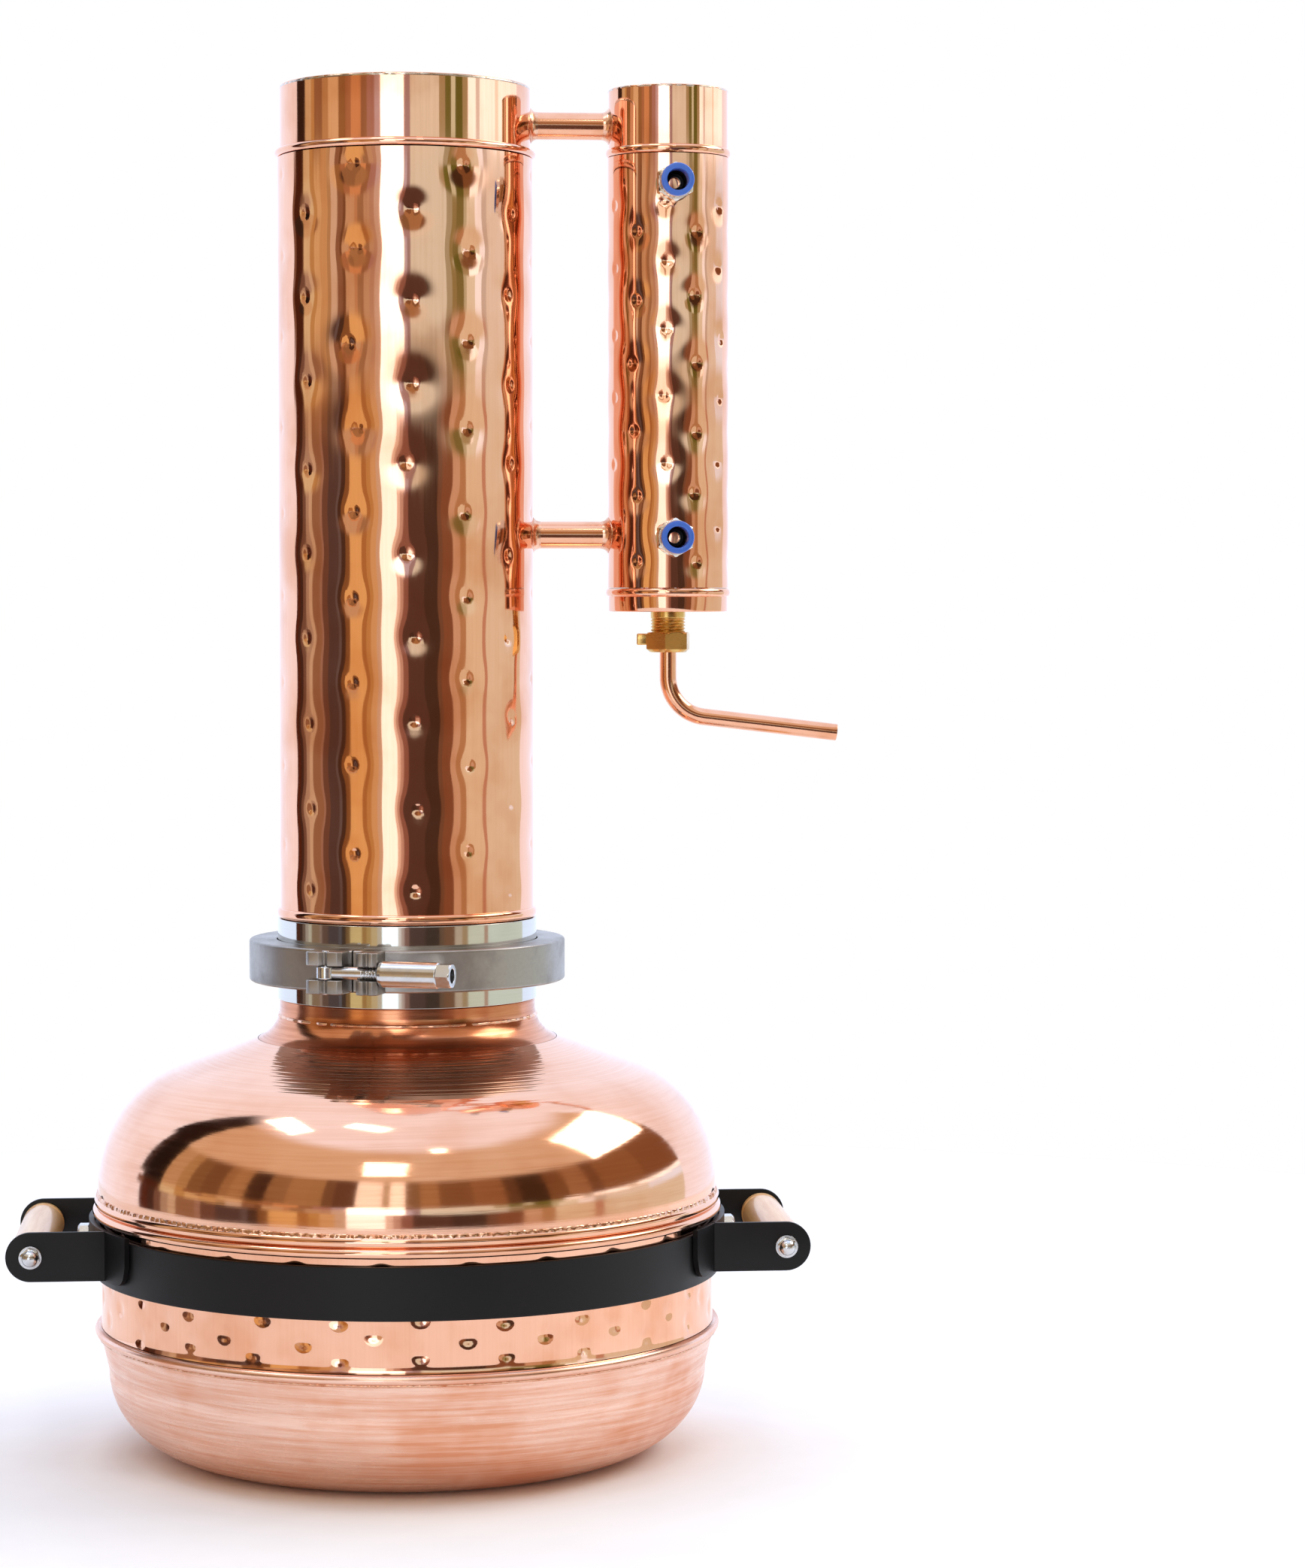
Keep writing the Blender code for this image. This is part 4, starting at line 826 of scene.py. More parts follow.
class Finish(Enum):
    """Finishes of the still, each a real material and how it was worked."""

    # Rolled copper sheet, buffed: mirror-like and warm, with faint upright polishing lines
    ROLLED_COPPER = Metal(
        "copper_rolled_buffed", "#F3BD9F", "#E09C74", 0.035, 0.05, Grain.DRAWN, 0.9 * MM, 0.003 * MM,
        patch=45 * MM, share=0.6)
    # Spun copper, buffed on the lathe: mirror-like, broken into fine rings
    SPUN_COPPER = Metal(
        "copper_spun_buffed", "#F4C1A4", "#E09E78", 0.05, 0.08, Grain.TURNED, 1.1 * MM, 0.020 * MM,
        patch=70 * MM, share=0.5, streak=0.3)
    # Spun copper neck and deck as the lathe's tool left it: dense rings that break every reflection up; its
    # colours, darker and redder than the other coppers', are a painted reflection of the copper deck round
    # the neck
    TURNED_COPPER = Metal(
        "copper_turned_rings_painted_reflection", "#E09A74", "#BC7048", 0.12, 0.14, Grain.TURNED, 1.0 * MM, 0.045 * MM,
        patch=50 * MM, share=0.6, streak=0.5)
    # Spun copper left satin from the lathe's abrasive: pale broad sheen across long rings
    SATIN_COPPER = Metal(
        "copper_spun_satin", "#F8D2BF", "#E5A27F", 0.22, 0.16, Grain.TURNED, 1.3 * MM, 0.022 * MM,
        patch=55 * MM, share=0.6, streak=0.7)
    # Drawn copper tube, buffed: bright, with lines along the tube
    COPPER_TUBE = Metal(
        "copper_tube_buffed", "#F2B998", "#DB946B", 0.08, 0.10, Grain.LONG, 0.6 * MM, 0.006 * MM,
        patch=20 * MM)
    # Tin-silver solder, frozen as it ran: bright and uneven
    SOLDER = Metal(
        "solder_tin_silver", "#D9D2C8", "#B79C82", 0.16, 0.16, Grain.CAST, 1.5 * MM, 0.03 * MM,
        patch=12 * MM)
    # Copper-phosphorus braze, wire-brushed: copper-coloured beads
    BRAZE = Metal(
        "braze_copper_brushed", "#F2C6AB", "#D08A62", 0.14, 0.18, Grain.CAST, 1.2 * MM, 0.03 * MM,
        patch=9 * MM, share=0.8)
    # Stainless steel 304, mirror polished: neutral, slightly warm, nearly no marks
    MIRROR_STEEL = Metal(
        "stainless_304_mirror", "#D4D3CE", "#C2C0B8", 0.05, 0.06, Grain.TURNED, 0.7 * MM, 0.003 * MM)
    # Stainless steel 304, cast and tumbled: grey satin with soft blotches
    TUMBLED_STEEL = Metal(
        "stainless_304_tumbled", "#A8A4A0", "#8D8985", 0.32, 0.14, Grain.CAST, 1.0 * MM, 0.012 * MM,
        patch=25 * MM, share=0.8)
    # Steel with bright zinc plate: light, slightly blue, soft shine
    ZINC_PLATE = Metal(
        "steel_zinc_plated", "#D6D8DB", "#B9BCC0", 0.16, 0.12, Grain.CAST, 0.8 * MM, 0.006 * MM,
        patch=10 * MM)
    # Brass with nickel plate: bright and faintly warm
    NICKEL_PLATE = Metal(
        "brass_nickel_plated", "#DDD8CE", "#C4BEB2", 0.08, 0.10, Grain.CAST, 0.7 * MM, 0.004 * MM,
        patch=10 * MM)
    # Free-cutting brass, turned: yellow, with the tool's fine rings
    TURNED_BRASS = Metal(
        "brass_turned", "#DDB871", "#BF9450", 0.18, 0.14, Grain.TURNED, 0.4 * MM, 0.010 * MM, patch=10 * MM,
        share=0.7, axis=CONDENSER.middle.x * MM)
    # Mild steel strap, satin black powder coat: dark and soft, with a fine orange-peel skin
    POWDER_COAT = Coated(
        "steel_powder_coat_black", "#0B0B0D", "#060608", 0.38, 0.10, 0.8 * MM, 0.02 * MM, ior=1.36)
    # Steamed beech, turned and lacquered: pale, with short flecks under a clear coat
    BEECH = Beech()
    # Acetal, injection moulded in blue: even, slightly waxy gloss
    ACETAL = Coated(
        "acetal_moulded_blue", "#4F7FE6", "#4372D8", 0.30, 0.08, 0.4 * MM, 0.006 * MM, ior=1.48, glow=0.15)
    # EPDM rubber, moulded: black and matt
    EPDM = Coated(
        "epdm_moulded_black", "#0B0B0C", "#070708", 0.55, 0.10, 0.5 * MM, 0.004 * MM, ior=1.4)
    # Silicone rubber, moulded: milky and matt
    SILICONE = Coated(
        "silicone_moulded", "#D8D7D2", "#CBCAC5", 0.55, 0.10, 0.5 * MM, 0.008 * MM, ior=1.41, glow=0.2)


class Palette:
    """Makes each finish's material once."""

    def __init__(self) -> None:
        """Start with no material made."""
        self.made: dict[Finish, bpy.types.Material] = {}

    def get(self, finish: Finish) -> bpy.types.Material:
        """Material of a finish."""
        if finish not in self.made:
            self.made[finish] = finish.value.build()
        return self.made[finish]


PALETTE = Palette()


# ---- pieces

def add_piece(name: str, shape: Shape, finish: Finish, body: str, slot: str, *nodes: str) -> None:
    """Add a finished piece to the still.

    Args:
        name: Piece's name.
        shape: Its surface, already in place.
        finish: Its finish.
        body: Body of the frame that it rides on.
        slot: Slot of the record for its finish; not used.
        nodes: Nodes of the frame that it stands for.
    """
    made = bpy.data.objects.new(name, shape.mesh(name))
    made.data.materials.append(PALETTE.get(finish))
    bpy.context.scene.collection.objects.link(made)
    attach(made, body)
    if nodes:
        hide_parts(*nodes)
    LOG.info("%s: %d vertices, rides on %s", name, len(shape.vertices), body)


def dress_node(name: str, finish: Finish) -> None:
    """Give a node of the frame a finish; its shape stays."""
    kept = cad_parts[name]
    kept.data.materials.clear()
    kept.data.materials.append(PALETTE.get(finish))
    LOG.info("%s: node of the frame, dressed", name)


SHEET = 1.5              # copper sheet of the pot, the tubes and the caps
COLUMN_RADIUS = 74.7


@dataclass
class Pot:
    """Boiler: satin bowl, hammered belt and polished dome with its brazed seams.

    Attributes:
        base_inset: The flat base's edge lies this far inside the belt.
        corner_rise: Height of the bowl's rounded corner.
        draft: The bowl's wall starts this far inside the belt.
        bead_out: How far the lower beads stand out.
        bead_height: Height of a bead.
        skirt: Upright part of the dome.
        shoulder: Half axes of the shoulder, across and up.
        deck_slope: Rise over run of the dome's upper cone.
        flare: Radius of the hollow curve under the neck.
        neck: Radius of the neck.
        rings_width: Width of the lathe's rings on the deck.
        rings_depth: Half the height of one of the two waves of the rings.
        overlap: The dome's skirt stands this far outside the belt.
    """

    base_inset: float = 60.7
    corner_rise: float = 50.0
    draft: float = 4.7
    bead_out: float = 3.3
    bead_height: float = 6.0
    skirt: float = 16.0
    shoulder: tuple[float, float] = (66.0, 72.5)
    deck_slope: float = 0.364
    flare: float = 20.0
    neck: float = 75.0
    rings_width: float = 66.0
    rings_depth: float = 0.028
    overlap: float = 1.3
    bowl: Extent = box_of("pot_bowl")
    belt: Extent = box_of("pot_belt")
    dome: Extent = box_of("pot_dome")
    collar: Extent = box_of("pot_neck")

    @property
    def skirt_radius(self) -> float:
        """Radius of the dome's upright skirt."""
        return self.belt.radius + self.overlap

    def bowl_outline(self) -> np.ndarray:
        """Bowl from the axis inside, over its beaded rim and down the outside to the axis."""
        radius, top = self.belt.radius, self.bowl.high.z
        base = radius - self.base_inset
        foot = radius - self.draft
        bead_foot = top - self.bead_height
        run, rise = foot - base, self.corner_rise
        inner = arc((base, rise), run - SHEET, rise - SHEET, -90, 0, 20)
        outer = arc((base, rise), run, rise, 0, -90, 28)
        rim = bead(radius, bead_foot + self.bead_height / 2, self.bead_out, self.bead_height / 2, 10)
        upper = np.linspace([radius - 0.1, bead_foot - 0.4], [foot, rise + 0.5], 10)
        start = [[0.0, SHEET], [base / 2, SHEET], [base - 1, SHEET]]
        lip = [[radius - SHEET, bead_foot], [radius - SHEET, top - 0.1], [radius - 1.2, top]]
        end = [[base - 1, 0.0], [base / 2, 0.0], [0.0, 0.0]]
        return np.concatenate([start, inner, lip, rim, upper, outer, end])

    def cone(self, inset: float) -> tuple[float, float, float]:
        """Outer edge of the deck's straight cone, this far inside the dome's outside.

        Formula: a shoulder's ellipse of run and rise has the cone's slope at tan turn = rise / (run slope).

        Returns:
            Radius and height of the edge, and the turn round the ellipse there.
        """
        run, rise = self.shoulder[0] - inset, self.shoulder[1] - inset
        turn = math.atan2(rise, run * self.deck_slope)
        radius = self.skirt_radius - self.shoulder[0] + run * math.cos(turn)
        return radius, self.dome.low.z + self.skirt + rise * math.sin(turn), turn

    def flare_curve(self, inset: float, steps: int) -> np.ndarray:
        """Hollow arc from the upright neck out to the cone, this far inside its outside."""
        deck_r, deck_z, _ = self.cone(inset)
        centre_r, radius = self.neck + self.flare, self.flare + inset
        centre_z = deck_z + (deck_r - centre_r) * self.deck_slope + radius * math.hypot(1, self.deck_slope)
        lean = math.degrees(math.atan(self.deck_slope))
        return arc((centre_r, centre_z), radius, radius, 180, 270 - lean, steps)

    def neck_outline(self) -> np.ndarray:
        """Neck as a loop: upright rim, hollow flare down to the seam, and the inside back up."""
        top = self.collar.high.z
        outer, inner = self.flare_curve(0.0, 40), self.flare_curve(SHEET, 12)
        keep = self.collar.low.z
        outer = outer[(outer[:, 1] > keep) & (outer[:, 0] < self.collar.radius)]
        inner = inner[inner[:, 1] > keep]
        rim = wall(self.neck, top - 0.3, outer[0, 1] + 0.2, 6)
        foot = [[self.collar.radius, outer[-1, 1] - 0.2], [inner[-1, 0], keep]]
        return np.concatenate([[[self.neck - 0.3, top]], rim, outer, foot, inner[::-1],
                               [[self.neck - SHEET, top - 0.3], [self.neck - SHEET + 0.3, top]]])

    def dome_surface(self, inset: float, steps: int) -> np.ndarray:
        """Dome from its seam with the neck down to the foot of its shoulder, this far inside its outside.

        Formula: a straight cone, which meets a quarter ellipse where the ellipse's slope equals the cone's.
        """
        deck_r, deck_z, turn = self.cone(inset)
        seam_r = self.collar.radius + 0.3
        seam = [seam_r, deck_z + (deck_r - seam_r) * self.deck_slope]
        rounding = arc((self.skirt_radius - self.shoulder[0], self.dome.low.z + self.skirt),
                       self.shoulder[0] - inset, self.shoulder[1] - inset, math.degrees(turn), 0, steps)
        return np.concatenate([np.linspace(seam, rounding[0], 12)[:-1], rounding])

    def dome_outline(self) -> np.ndarray:
        """Dome as a loop: deck, shoulder, two beads and the inside back up."""
        radius, bottom = self.skirt_radius, self.dome.low.z
        half = self.bead_height / 2
        lower = bead(radius, bottom + half, self.bead_out, half)
        upper = bead(radius, bottom + 3 * half, 2.1, half)[:-1]
        skirt = wall(radius, bottom + self.skirt - 0.8, bottom + 4 * half + 0.3, 3)
        inside = np.concatenate([self.dome_surface(SHEET, 16), [[radius - SHEET, bottom]]])
        return np.concatenate([self.ringed(self.dome_surface(0.0, 60)), skirt, upper, lower, inside[::-1]])

    def ringed(self, surface: np.ndarray) -> np.ndarray:
        """Dome's surface with the lathe's rings on its deck.

        Formula: two sine waves over the radius, 3.4 mm and 2.1 mm long, lower the deck, and fade to nothing
        where the deck meets the neck and where it rounds over to the shoulder.
        """
        edge = surface[0, 0] + self.rings_width
        cut = np.searchsorted(surface[:, 0], edge)
        radii = np.arange(surface[0, 0], surface[cut, 0] - 0.3, 0.5)
        heights = np.interp(radii, surface[:, 0], surface[:, 1])
        fade = np.clip((radii - radii[0]) / (3), 0, 1) * np.clip((edge - radii) / (22), 0, 1)
        waves = 2.0 + np.sin(radii * TAU / (3.4)) + np.sin(radii * TAU / (2.1))
        deck = np.stack([radii, heights - self.rings_depth * fade * waves], axis=1)
        return np.concatenate([deck, surface[cut:]])

    def build(self) -> None:
        """Build the bowl, the belt, the dome and the brazed seams."""
        bowl = Shape.turned(self.bowl_outline(), 288, closed=False)
        add_piece("bowl", bowl, Finish.SATIN_COPPER, "pot", "brushed_copper", "pot_bowl", "pot_base")

        radius, bottom, top = self.belt.radius, self.belt.low.z, self.belt.high.z
        flare, waist = 5.0, 0.5
        foot = wall(radius, bottom + flare, bottom, 12)
        foot[:, 0] -= waist * (1 - ((bottom + flare - foot[:, 1]) / flare) ** 2)
        outline = np.concatenate([wall(radius - waist, top, bottom + flare + 0.5, 46), foot,
                                  wall(radius - SHEET, bottom, top, 8)])
        levels = tuple(bottom + (9.7 + 19.0 * row) for row in range(3))
        marks = Dents(48, levels, 1.0, -9.5, radius, 4.6, 0.80, 9.0, 0.10, 1.6,
                      radius - SHEET / 2, power=1.4)
        add_piece("belt", Shape.turned(outline, 768, field_of=marks), Finish.ROLLED_COPPER, "pot",
                  "hammered_copper", "pot_belt")

        dome = Shape.turned(self.dome_outline(), 320)
        add_piece("dome", dome, Finish.SPUN_COPPER, "pot", "polished_copper", "pot_dome")
        neck = Shape.turned(self.neck_outline(), 256)
        # The neck's darker, redder copper colour is a painted reflection of the copper deck round it.
        add_piece("neck", neck, Finish.TURNED_COPPER, "pot", "polished_copper", "pot_neck")
        self.build_seams()

    def build_seams(self) -> None:
        """Build the braze above the dome's rim and above the bowl's, and the one round the neck."""
        skirt = self.skirt_radius
        middle = self.dome.low.z + 2 * self.bead_height - 1.2
        grains = Run(0.34, (150, 330), 3, skirt + 0.1, slope=0.9)
        outline = seam(skirt, middle, 0.9, 3.0, 1.0, 3.0, 12)
        add_piece("dome_seam", Shape.turned(outline, 1152, field_of=grains), Finish.BRAZE, "pot",
                  "polished_copper")

        rim, middle = self.belt.radius, self.bowl.high.z - self.bead_height + 0.2
        grains = Run(0.25, (180, 380), 5, rim + 1.4, slope=0.7)
        outline = seam(rim - 0.6, middle, 2.4, 1.3, 0.6, 0.9)
        add_piece("bowl_seam", Shape.turned(outline, 1152, field_of=grains), Finish.BRAZE, "pot",
                  "brushed_copper")

        run = Run(0.45, (9, 60), 11, self.neck + 0.2)
        outline = seam(self.neck - 0.2, self.collar.high.z - 9.8, 1.5, 1.3, 0.7,
                       1.1)
        add_piece("neck_solder", Shape.turned(outline, 384, field_of=run), Finish.BRAZE, "pot",
                  "polished_copper")


@dataclass
class Union:
    """Clamp union: ferrules, gasket, the clamp's two halves, its pins, swing bolt and barrel nut.

    Attributes:
        turn: The closure stands this far round from the front, in degrees.
        flange_edge: Upright edge of a ferrule's flange.
        flange_cone: Height of the flange's sloping side.
        split: Gap between the clamp's halves.
        height: Height of the clamp.
        band_radius: Outer radius of the clamp's band.
        groove_radius: Radius of the bottom of its V groove.
        lip_radius: Inner radius of the band's lips.
        tube_radius: Outer radius of the ferrules' tubes.
        bore_radius: Bore of the ferrules.
        slot: Height of the slot between the two prongs of a fork.
        bolt_line: Distance of the swing bolt's axis from the still's.
        hinge_line: Distance of the hinge pin's axis from the still's.
        knuckle_radius: Radius of the hinge's knuckles, and of the swing bolt's eye.
        knuckle_half: Half the height of the middle knuckle.
        hook: Left and right end of the hook forks.
        bearing: Left and right end of the bearing forks.
        eye_x: Where the swing bolt's pin stands.
        bolt_radius: Radius of the swing bolt's thread.
        barrel_radius: Radius of the nut's barrel.
        barrel_length: Length of the nut's barrel, before its hexagon.
        nut_length: Whole length of the nut.
    """

    turn: float = -21.3
    flange_edge: float = 3.0
    flange_cone: float = 2.7
    split: float = 1.0
    height: float = 24.2
    band_radius: float = 92.8
    groove_radius: float = 84.1
    lip_radius: float = 76.8
    tube_radius: float = 76.2
    bore_radius: float = 74.2
    slot: float = 8.0
    bolt_line: float = 101.0
    hinge_line: float = 99.0
    knuckle_radius: float = 5.4
    knuckle_half: float = 4.0
    hook: tuple[float, float] = (-24.0, -2.0)
    bearing: tuple[float, float] = (6.0, 19.0)
    eye_x: float = -13.0
    bolt_radius: float = 3.7
    barrel_radius: float = 7.5
    barrel_length: float = 35.0
    nut_length: float = 43.0
    pot_ferrule: Extent = box_of("pot_ferrule")
    column_ferrule: Extent = box_of("column_ferrule")
    gasket: Extent = box_of("union_gasket")

    def place(self, x: float = 0.0, y: float = 0.0, z: float = 0.0, way: Direction = Direction.UP) -> Matrix:
        """Placement in the clamp's own frame: its closure faces -Y, and height 0 is the union's plane."""
        return Matrix.Rotation(math.radians(self.turn), 4, "Z") @ at(x, y, self.gasket.middle.z + z, way)

    def ferrule(self, extent: Extent, face: float, rim: float) -> Shape:
        """Ferrule with its flange at the face and its tube up or down to the rim."""
        away = 1.0 if rim > face else -1.0
        edge = face + away * self.flange_edge
        foot = edge + away * self.flange_cone
        corners = [(self.tube_radius, rim, 0.3), (self.tube_radius, foot, 1.2), (extent.radius, edge, 0.5),
                   (extent.radius, face, 0.3), (self.bore_radius, face, 0.2), (self.bore_radius, rim, 0.3)]
        return Shape.lathed(corners, 192)

    def band(self, start: float, end: float) -> Shape:
        """Part of the clamp's V section between two angles, in degrees.

        Formula: the section's loop of radius and height is carried round the axis from start to end.
        """
        half, groove, lip, out = self.height / 2, self.groove_radius, self.lip_radius, self.band_radius
        stack = self.gasket.high.z - self.gasket.middle.z + self.flange_edge + 0.9
        upper = [(groove, stack, 0.3), (lip, stack + self.flange_cone, 0.3), (lip, half, 0.5),
                 (out, half, 1.4)]
        lower = [(radius, -height, rounding) for radius, height, rounding in upper[::-1]]
        loop = supported(rounded([*upper[2:], *lower, *upper[:2]]))
        angle = np.radians(np.linspace(start, end, 97))
        radius, height = loop[None, :, 0], np.repeat(loop[None, :, 1], len(angle), axis=0)
        points = np.stack([radius * np.cos(angle)[:, None], radius * np.sin(angle)[:, None], height], axis=-1)
        return Shape.loft(points).placed(self.place())

    def fork(self, ends: tuple[float, float], notch: float, level: float, thickness: float) -> Shape:
        """One prong of a fork: a plate whose front edge has a V notch between two rounded horns."""
        left, right = ends
        root, front = -self.band_radius + 5.0, -self.bolt_line - 5.0
        middle = (left + right) / 2
        corners = [(left, root, 0.0), (left, front + 2, 1.2), (left + 2.5, front, 1.0),
                   (middle - notch, front, 0.8), (middle, front + 3.2, 0.8), (middle + notch, front, 0.8),
                   (right - 2.5, front, 1.0), (right, front + 2, 1.2), (right, root, 0.0)]
        return Shape.slab(rounded(corners, steps=3), thickness, 0.7).placed(self.place(z=level))

    def knuckle(self, side: float, low: float, high: float) -> Shape:
        """Hinge knuckle: a barrel round the pin with its leaf on the clamp's back."""
        radius, root = self.knuckle_radius, self.band_radius - 4.3
        eye = arc((0.0, self.hinge_line), radius, radius, 180, 0, 14)
        outline = np.concatenate([eye, [[radius, root + 6], [12.0, root], [0.8, root],
                                        [-radius, root + 6]]])
        outline[:, 0] *= side
        if side < 0:
            outline = outline[::-1]
        return Shape.slab(outline, high - low, 0.4).placed(self.place(z=(low + high) / 2))

    def pin(self, radius: float, half: float, edge: float, x: float, y: float) -> Shape:
        """Upright pin in the clamp's own frame."""
        return Shape.turned(solid(radius, -half, half, edge), 32, closed=False).placed(self.place(x, y))

    def build(self) -> None:
        """Build the ferrules, gasket, clamp halves, pins, bolt and nut."""
        lower, upper, seal = self.pot_ferrule, self.column_ferrule, self.gasket
        add_piece("ferrule_lower", self.ferrule(lower, lower.high.z, lower.low.z), Finish.MIRROR_STEEL, "pot",
                  "polished_stainless", "pot_ferrule")
        add_piece("ferrule_upper", self.ferrule(upper, upper.low.z, upper.high.z), Finish.MIRROR_STEEL,
                  "column", "polished_stainless", "column_ferrule")
        outline = ring(72.0, seal.radius, seal.low.z, seal.high.z, 0.5)
        add_piece("gasket", Shape.turned(outline, 160), Finish.SILICONE, "pot", "silicone", "union_gasket")
        self.build_halves()
        self.build_closure()
        dress_node("sieve_plate", Finish.ROLLED_COPPER)

    def build_halves(self) -> None:
        """Build both halves of the clamp with their forks and knuckles."""
        half, middle, play = self.height / 2, self.knuckle_half, 0.3
        gap = math.degrees(self.split / 2 / self.band_radius)
        prong = half - self.slot / 2
        level = (half + self.slot / 2) / 2
        left = self.band(-90 - gap, -270 + gap).joined(
            *(self.fork(self.hook, 2.6, sign * level, prong) for sign in (1, -1)),
            self.knuckle(-1, middle + play, half), self.knuckle(-1, -half, -middle - play))
        right = self.band(-90 + gap, 90 - gap).joined(
            *(self.fork(self.bearing, 1.8, sign * level, prong) for sign in (1, -1)),
            self.knuckle(1, -middle, middle))
        add_piece("clamp_left", left, Finish.TUMBLED_STEEL, "pot", "cast_stainless", "clamp_half_left")
        add_piece("clamp_right", right, Finish.TUMBLED_STEEL, "pot", "cast_stainless", "clamp_half_right")

    def build_closure(self) -> None:
        """Build both pins, the swing bolt with its eye and thread, and the barrel nut with its hexagon."""
        half = self.height / 2
        add_piece("hinge_pin", self.pin(2.5, half + 1.0, 0.6, 0.0, self.hinge_line),
                  Finish.ZINC_PLATE, "pot", "zinc_steel", "clamp_hinge_pin")
        add_piece("bolt_pin", self.pin(2.0, half + 0.5, 0.5, self.eye_x, -self.bolt_line),
                  Finish.ZINC_PLATE, "pot", "zinc_steel", "clamp_bolt_pin")

        radius, start = self.bolt_radius, self.bearing[1] + 0.8
        length = start + self.barrel_length - self.eye_x
        foot = 4.6
        shank = np.concatenate([[[0.0, length], [radius - 0.6, length]],
                                wall(radius, length - 0.6, foot, 150), [[radius, foot], [0.0, foot]]])
        thread = Thread(1.75, 0.8, length - 46, length, 3.2)
        bolt = Shape.turned(shank, 32, closed=False, field_of=thread)
        bolt = bolt.placed(self.place(self.eye_x, -self.bolt_line, way=Direction.ALONG_X))
        eye = Shape.turned(ring(2.3, self.knuckle_radius, -radius, radius, 0.8), 40)
        bolt = bolt.joined(eye.placed(self.place(self.eye_x, -self.bolt_line)))
        add_piece("swing_bolt", bolt, Finish.ZINC_PLATE, "swing_bolt", "zinc_steel", "clamp_bolt")

        out, middle, end = self.barrel_radius, self.barrel_length, self.nut_length
        barrel = Shape.lathed([(out, middle, 0.8), (out, 2.2, 0.6), (6.9, 0.0, 0.5),
                               (4.0, 0.0, 0.3), (4.0, middle, 0.3)], 64)
        foot = middle - 0.1
        corners = [(6.6, end, 0.3), (out, end - 0.8, 0.1), (out, foot, 0.1), (4.05, foot, 0.1),
                   (4.05, end, 0.3)]
        hexagon = Shape.lathed(corners, 96, field_of=Hexagon(13.0, outside=5.0))
        nut = barrel.joined(hexagon).placed(self.place(start, -self.bolt_line, way=Direction.ALONG_X))
        add_piece("barrel_nut", nut, Finish.ZINC_PLATE, "barrel_nut", "zinc_steel", "clamp_nut")


@dataclass
class Column:
    """Hammered column tube with its plain cap band, lid and rim solder.

    Attributes:
        bead_height: Height of the bead at the tube's foot.
        bead_out: How far the bead stands out.
        pitch: Distance between two hammer marks of a column of marks.
    """

    bead_height: float = 6.0
    bead_out: float = 1.8
    pitch: float = 48.7
    shell: Extent = box_of("column_shell")
    cap: Extent = box_of("column_cap")
    lid: Extent = box_of("column_lid")

    def build(self) -> None:
        """Build the tube, the cap band, the lid and the solder line round it."""
        radius, bottom, top = COLUMN_RADIUS, self.shell.low.z, self.shell.high.z
        rim = bead(radius, bottom + self.bead_height / 2, self.bead_out, self.bead_height / 2)
        outline = np.concatenate([wall(radius, top, bottom + self.bead_height + 0.3, 250), rim,
                                  wall(radius - SHEET, bottom, top, 10)])
        levels = tuple(top - 10.5 - self.pitch * row for row in range(9))
        marks = Dents(14, levels, 244.7, self.pitch / 2, radius, 2.6, 0.50, 9.5, 0.55,
                      1.6, radius - SHEET / 2)
        add_piece("column_tube", Shape.turned(outline, 288, field_of=marks), Finish.ROLLED_COPPER, "column",
                  "hammered_copper", "column_shell")

        radius, bottom, top = self.lid.radius, self.cap.low.z, self.cap.high.z
        rim = bead(radius, bottom + 2.5, self.cap.radius - radius, 2.5)
        outline = np.concatenate([wall(radius, top, bottom + 5.4, 12), rim,
                                  wall(radius - SHEET, bottom, top, 4)])
        add_piece("column_cap_band", Shape.turned(outline, 192), Finish.ROLLED_COPPER, "column",
                  "polished_copper", "column_cap")
        outline = solid(radius - 0.4, self.lid.low.z, self.lid.high.z, 0.5)
        add_piece("column_top", Shape.turned(outline, 192, closed=False), Finish.SPUN_COPPER, "column",
                  "polished_copper", "column_lid")
        line = Run(0.15, (20, 90), 21, radius - 0.4)
        outline = seam(radius - 0.8, top + 0.5, 0.6, 1.0, 0.6, 0.9, 6)
        add_piece("column_top_solder", Shape.turned(outline, 288, field_of=line), Finish.SOLDER, "column",
                  "polished_copper")


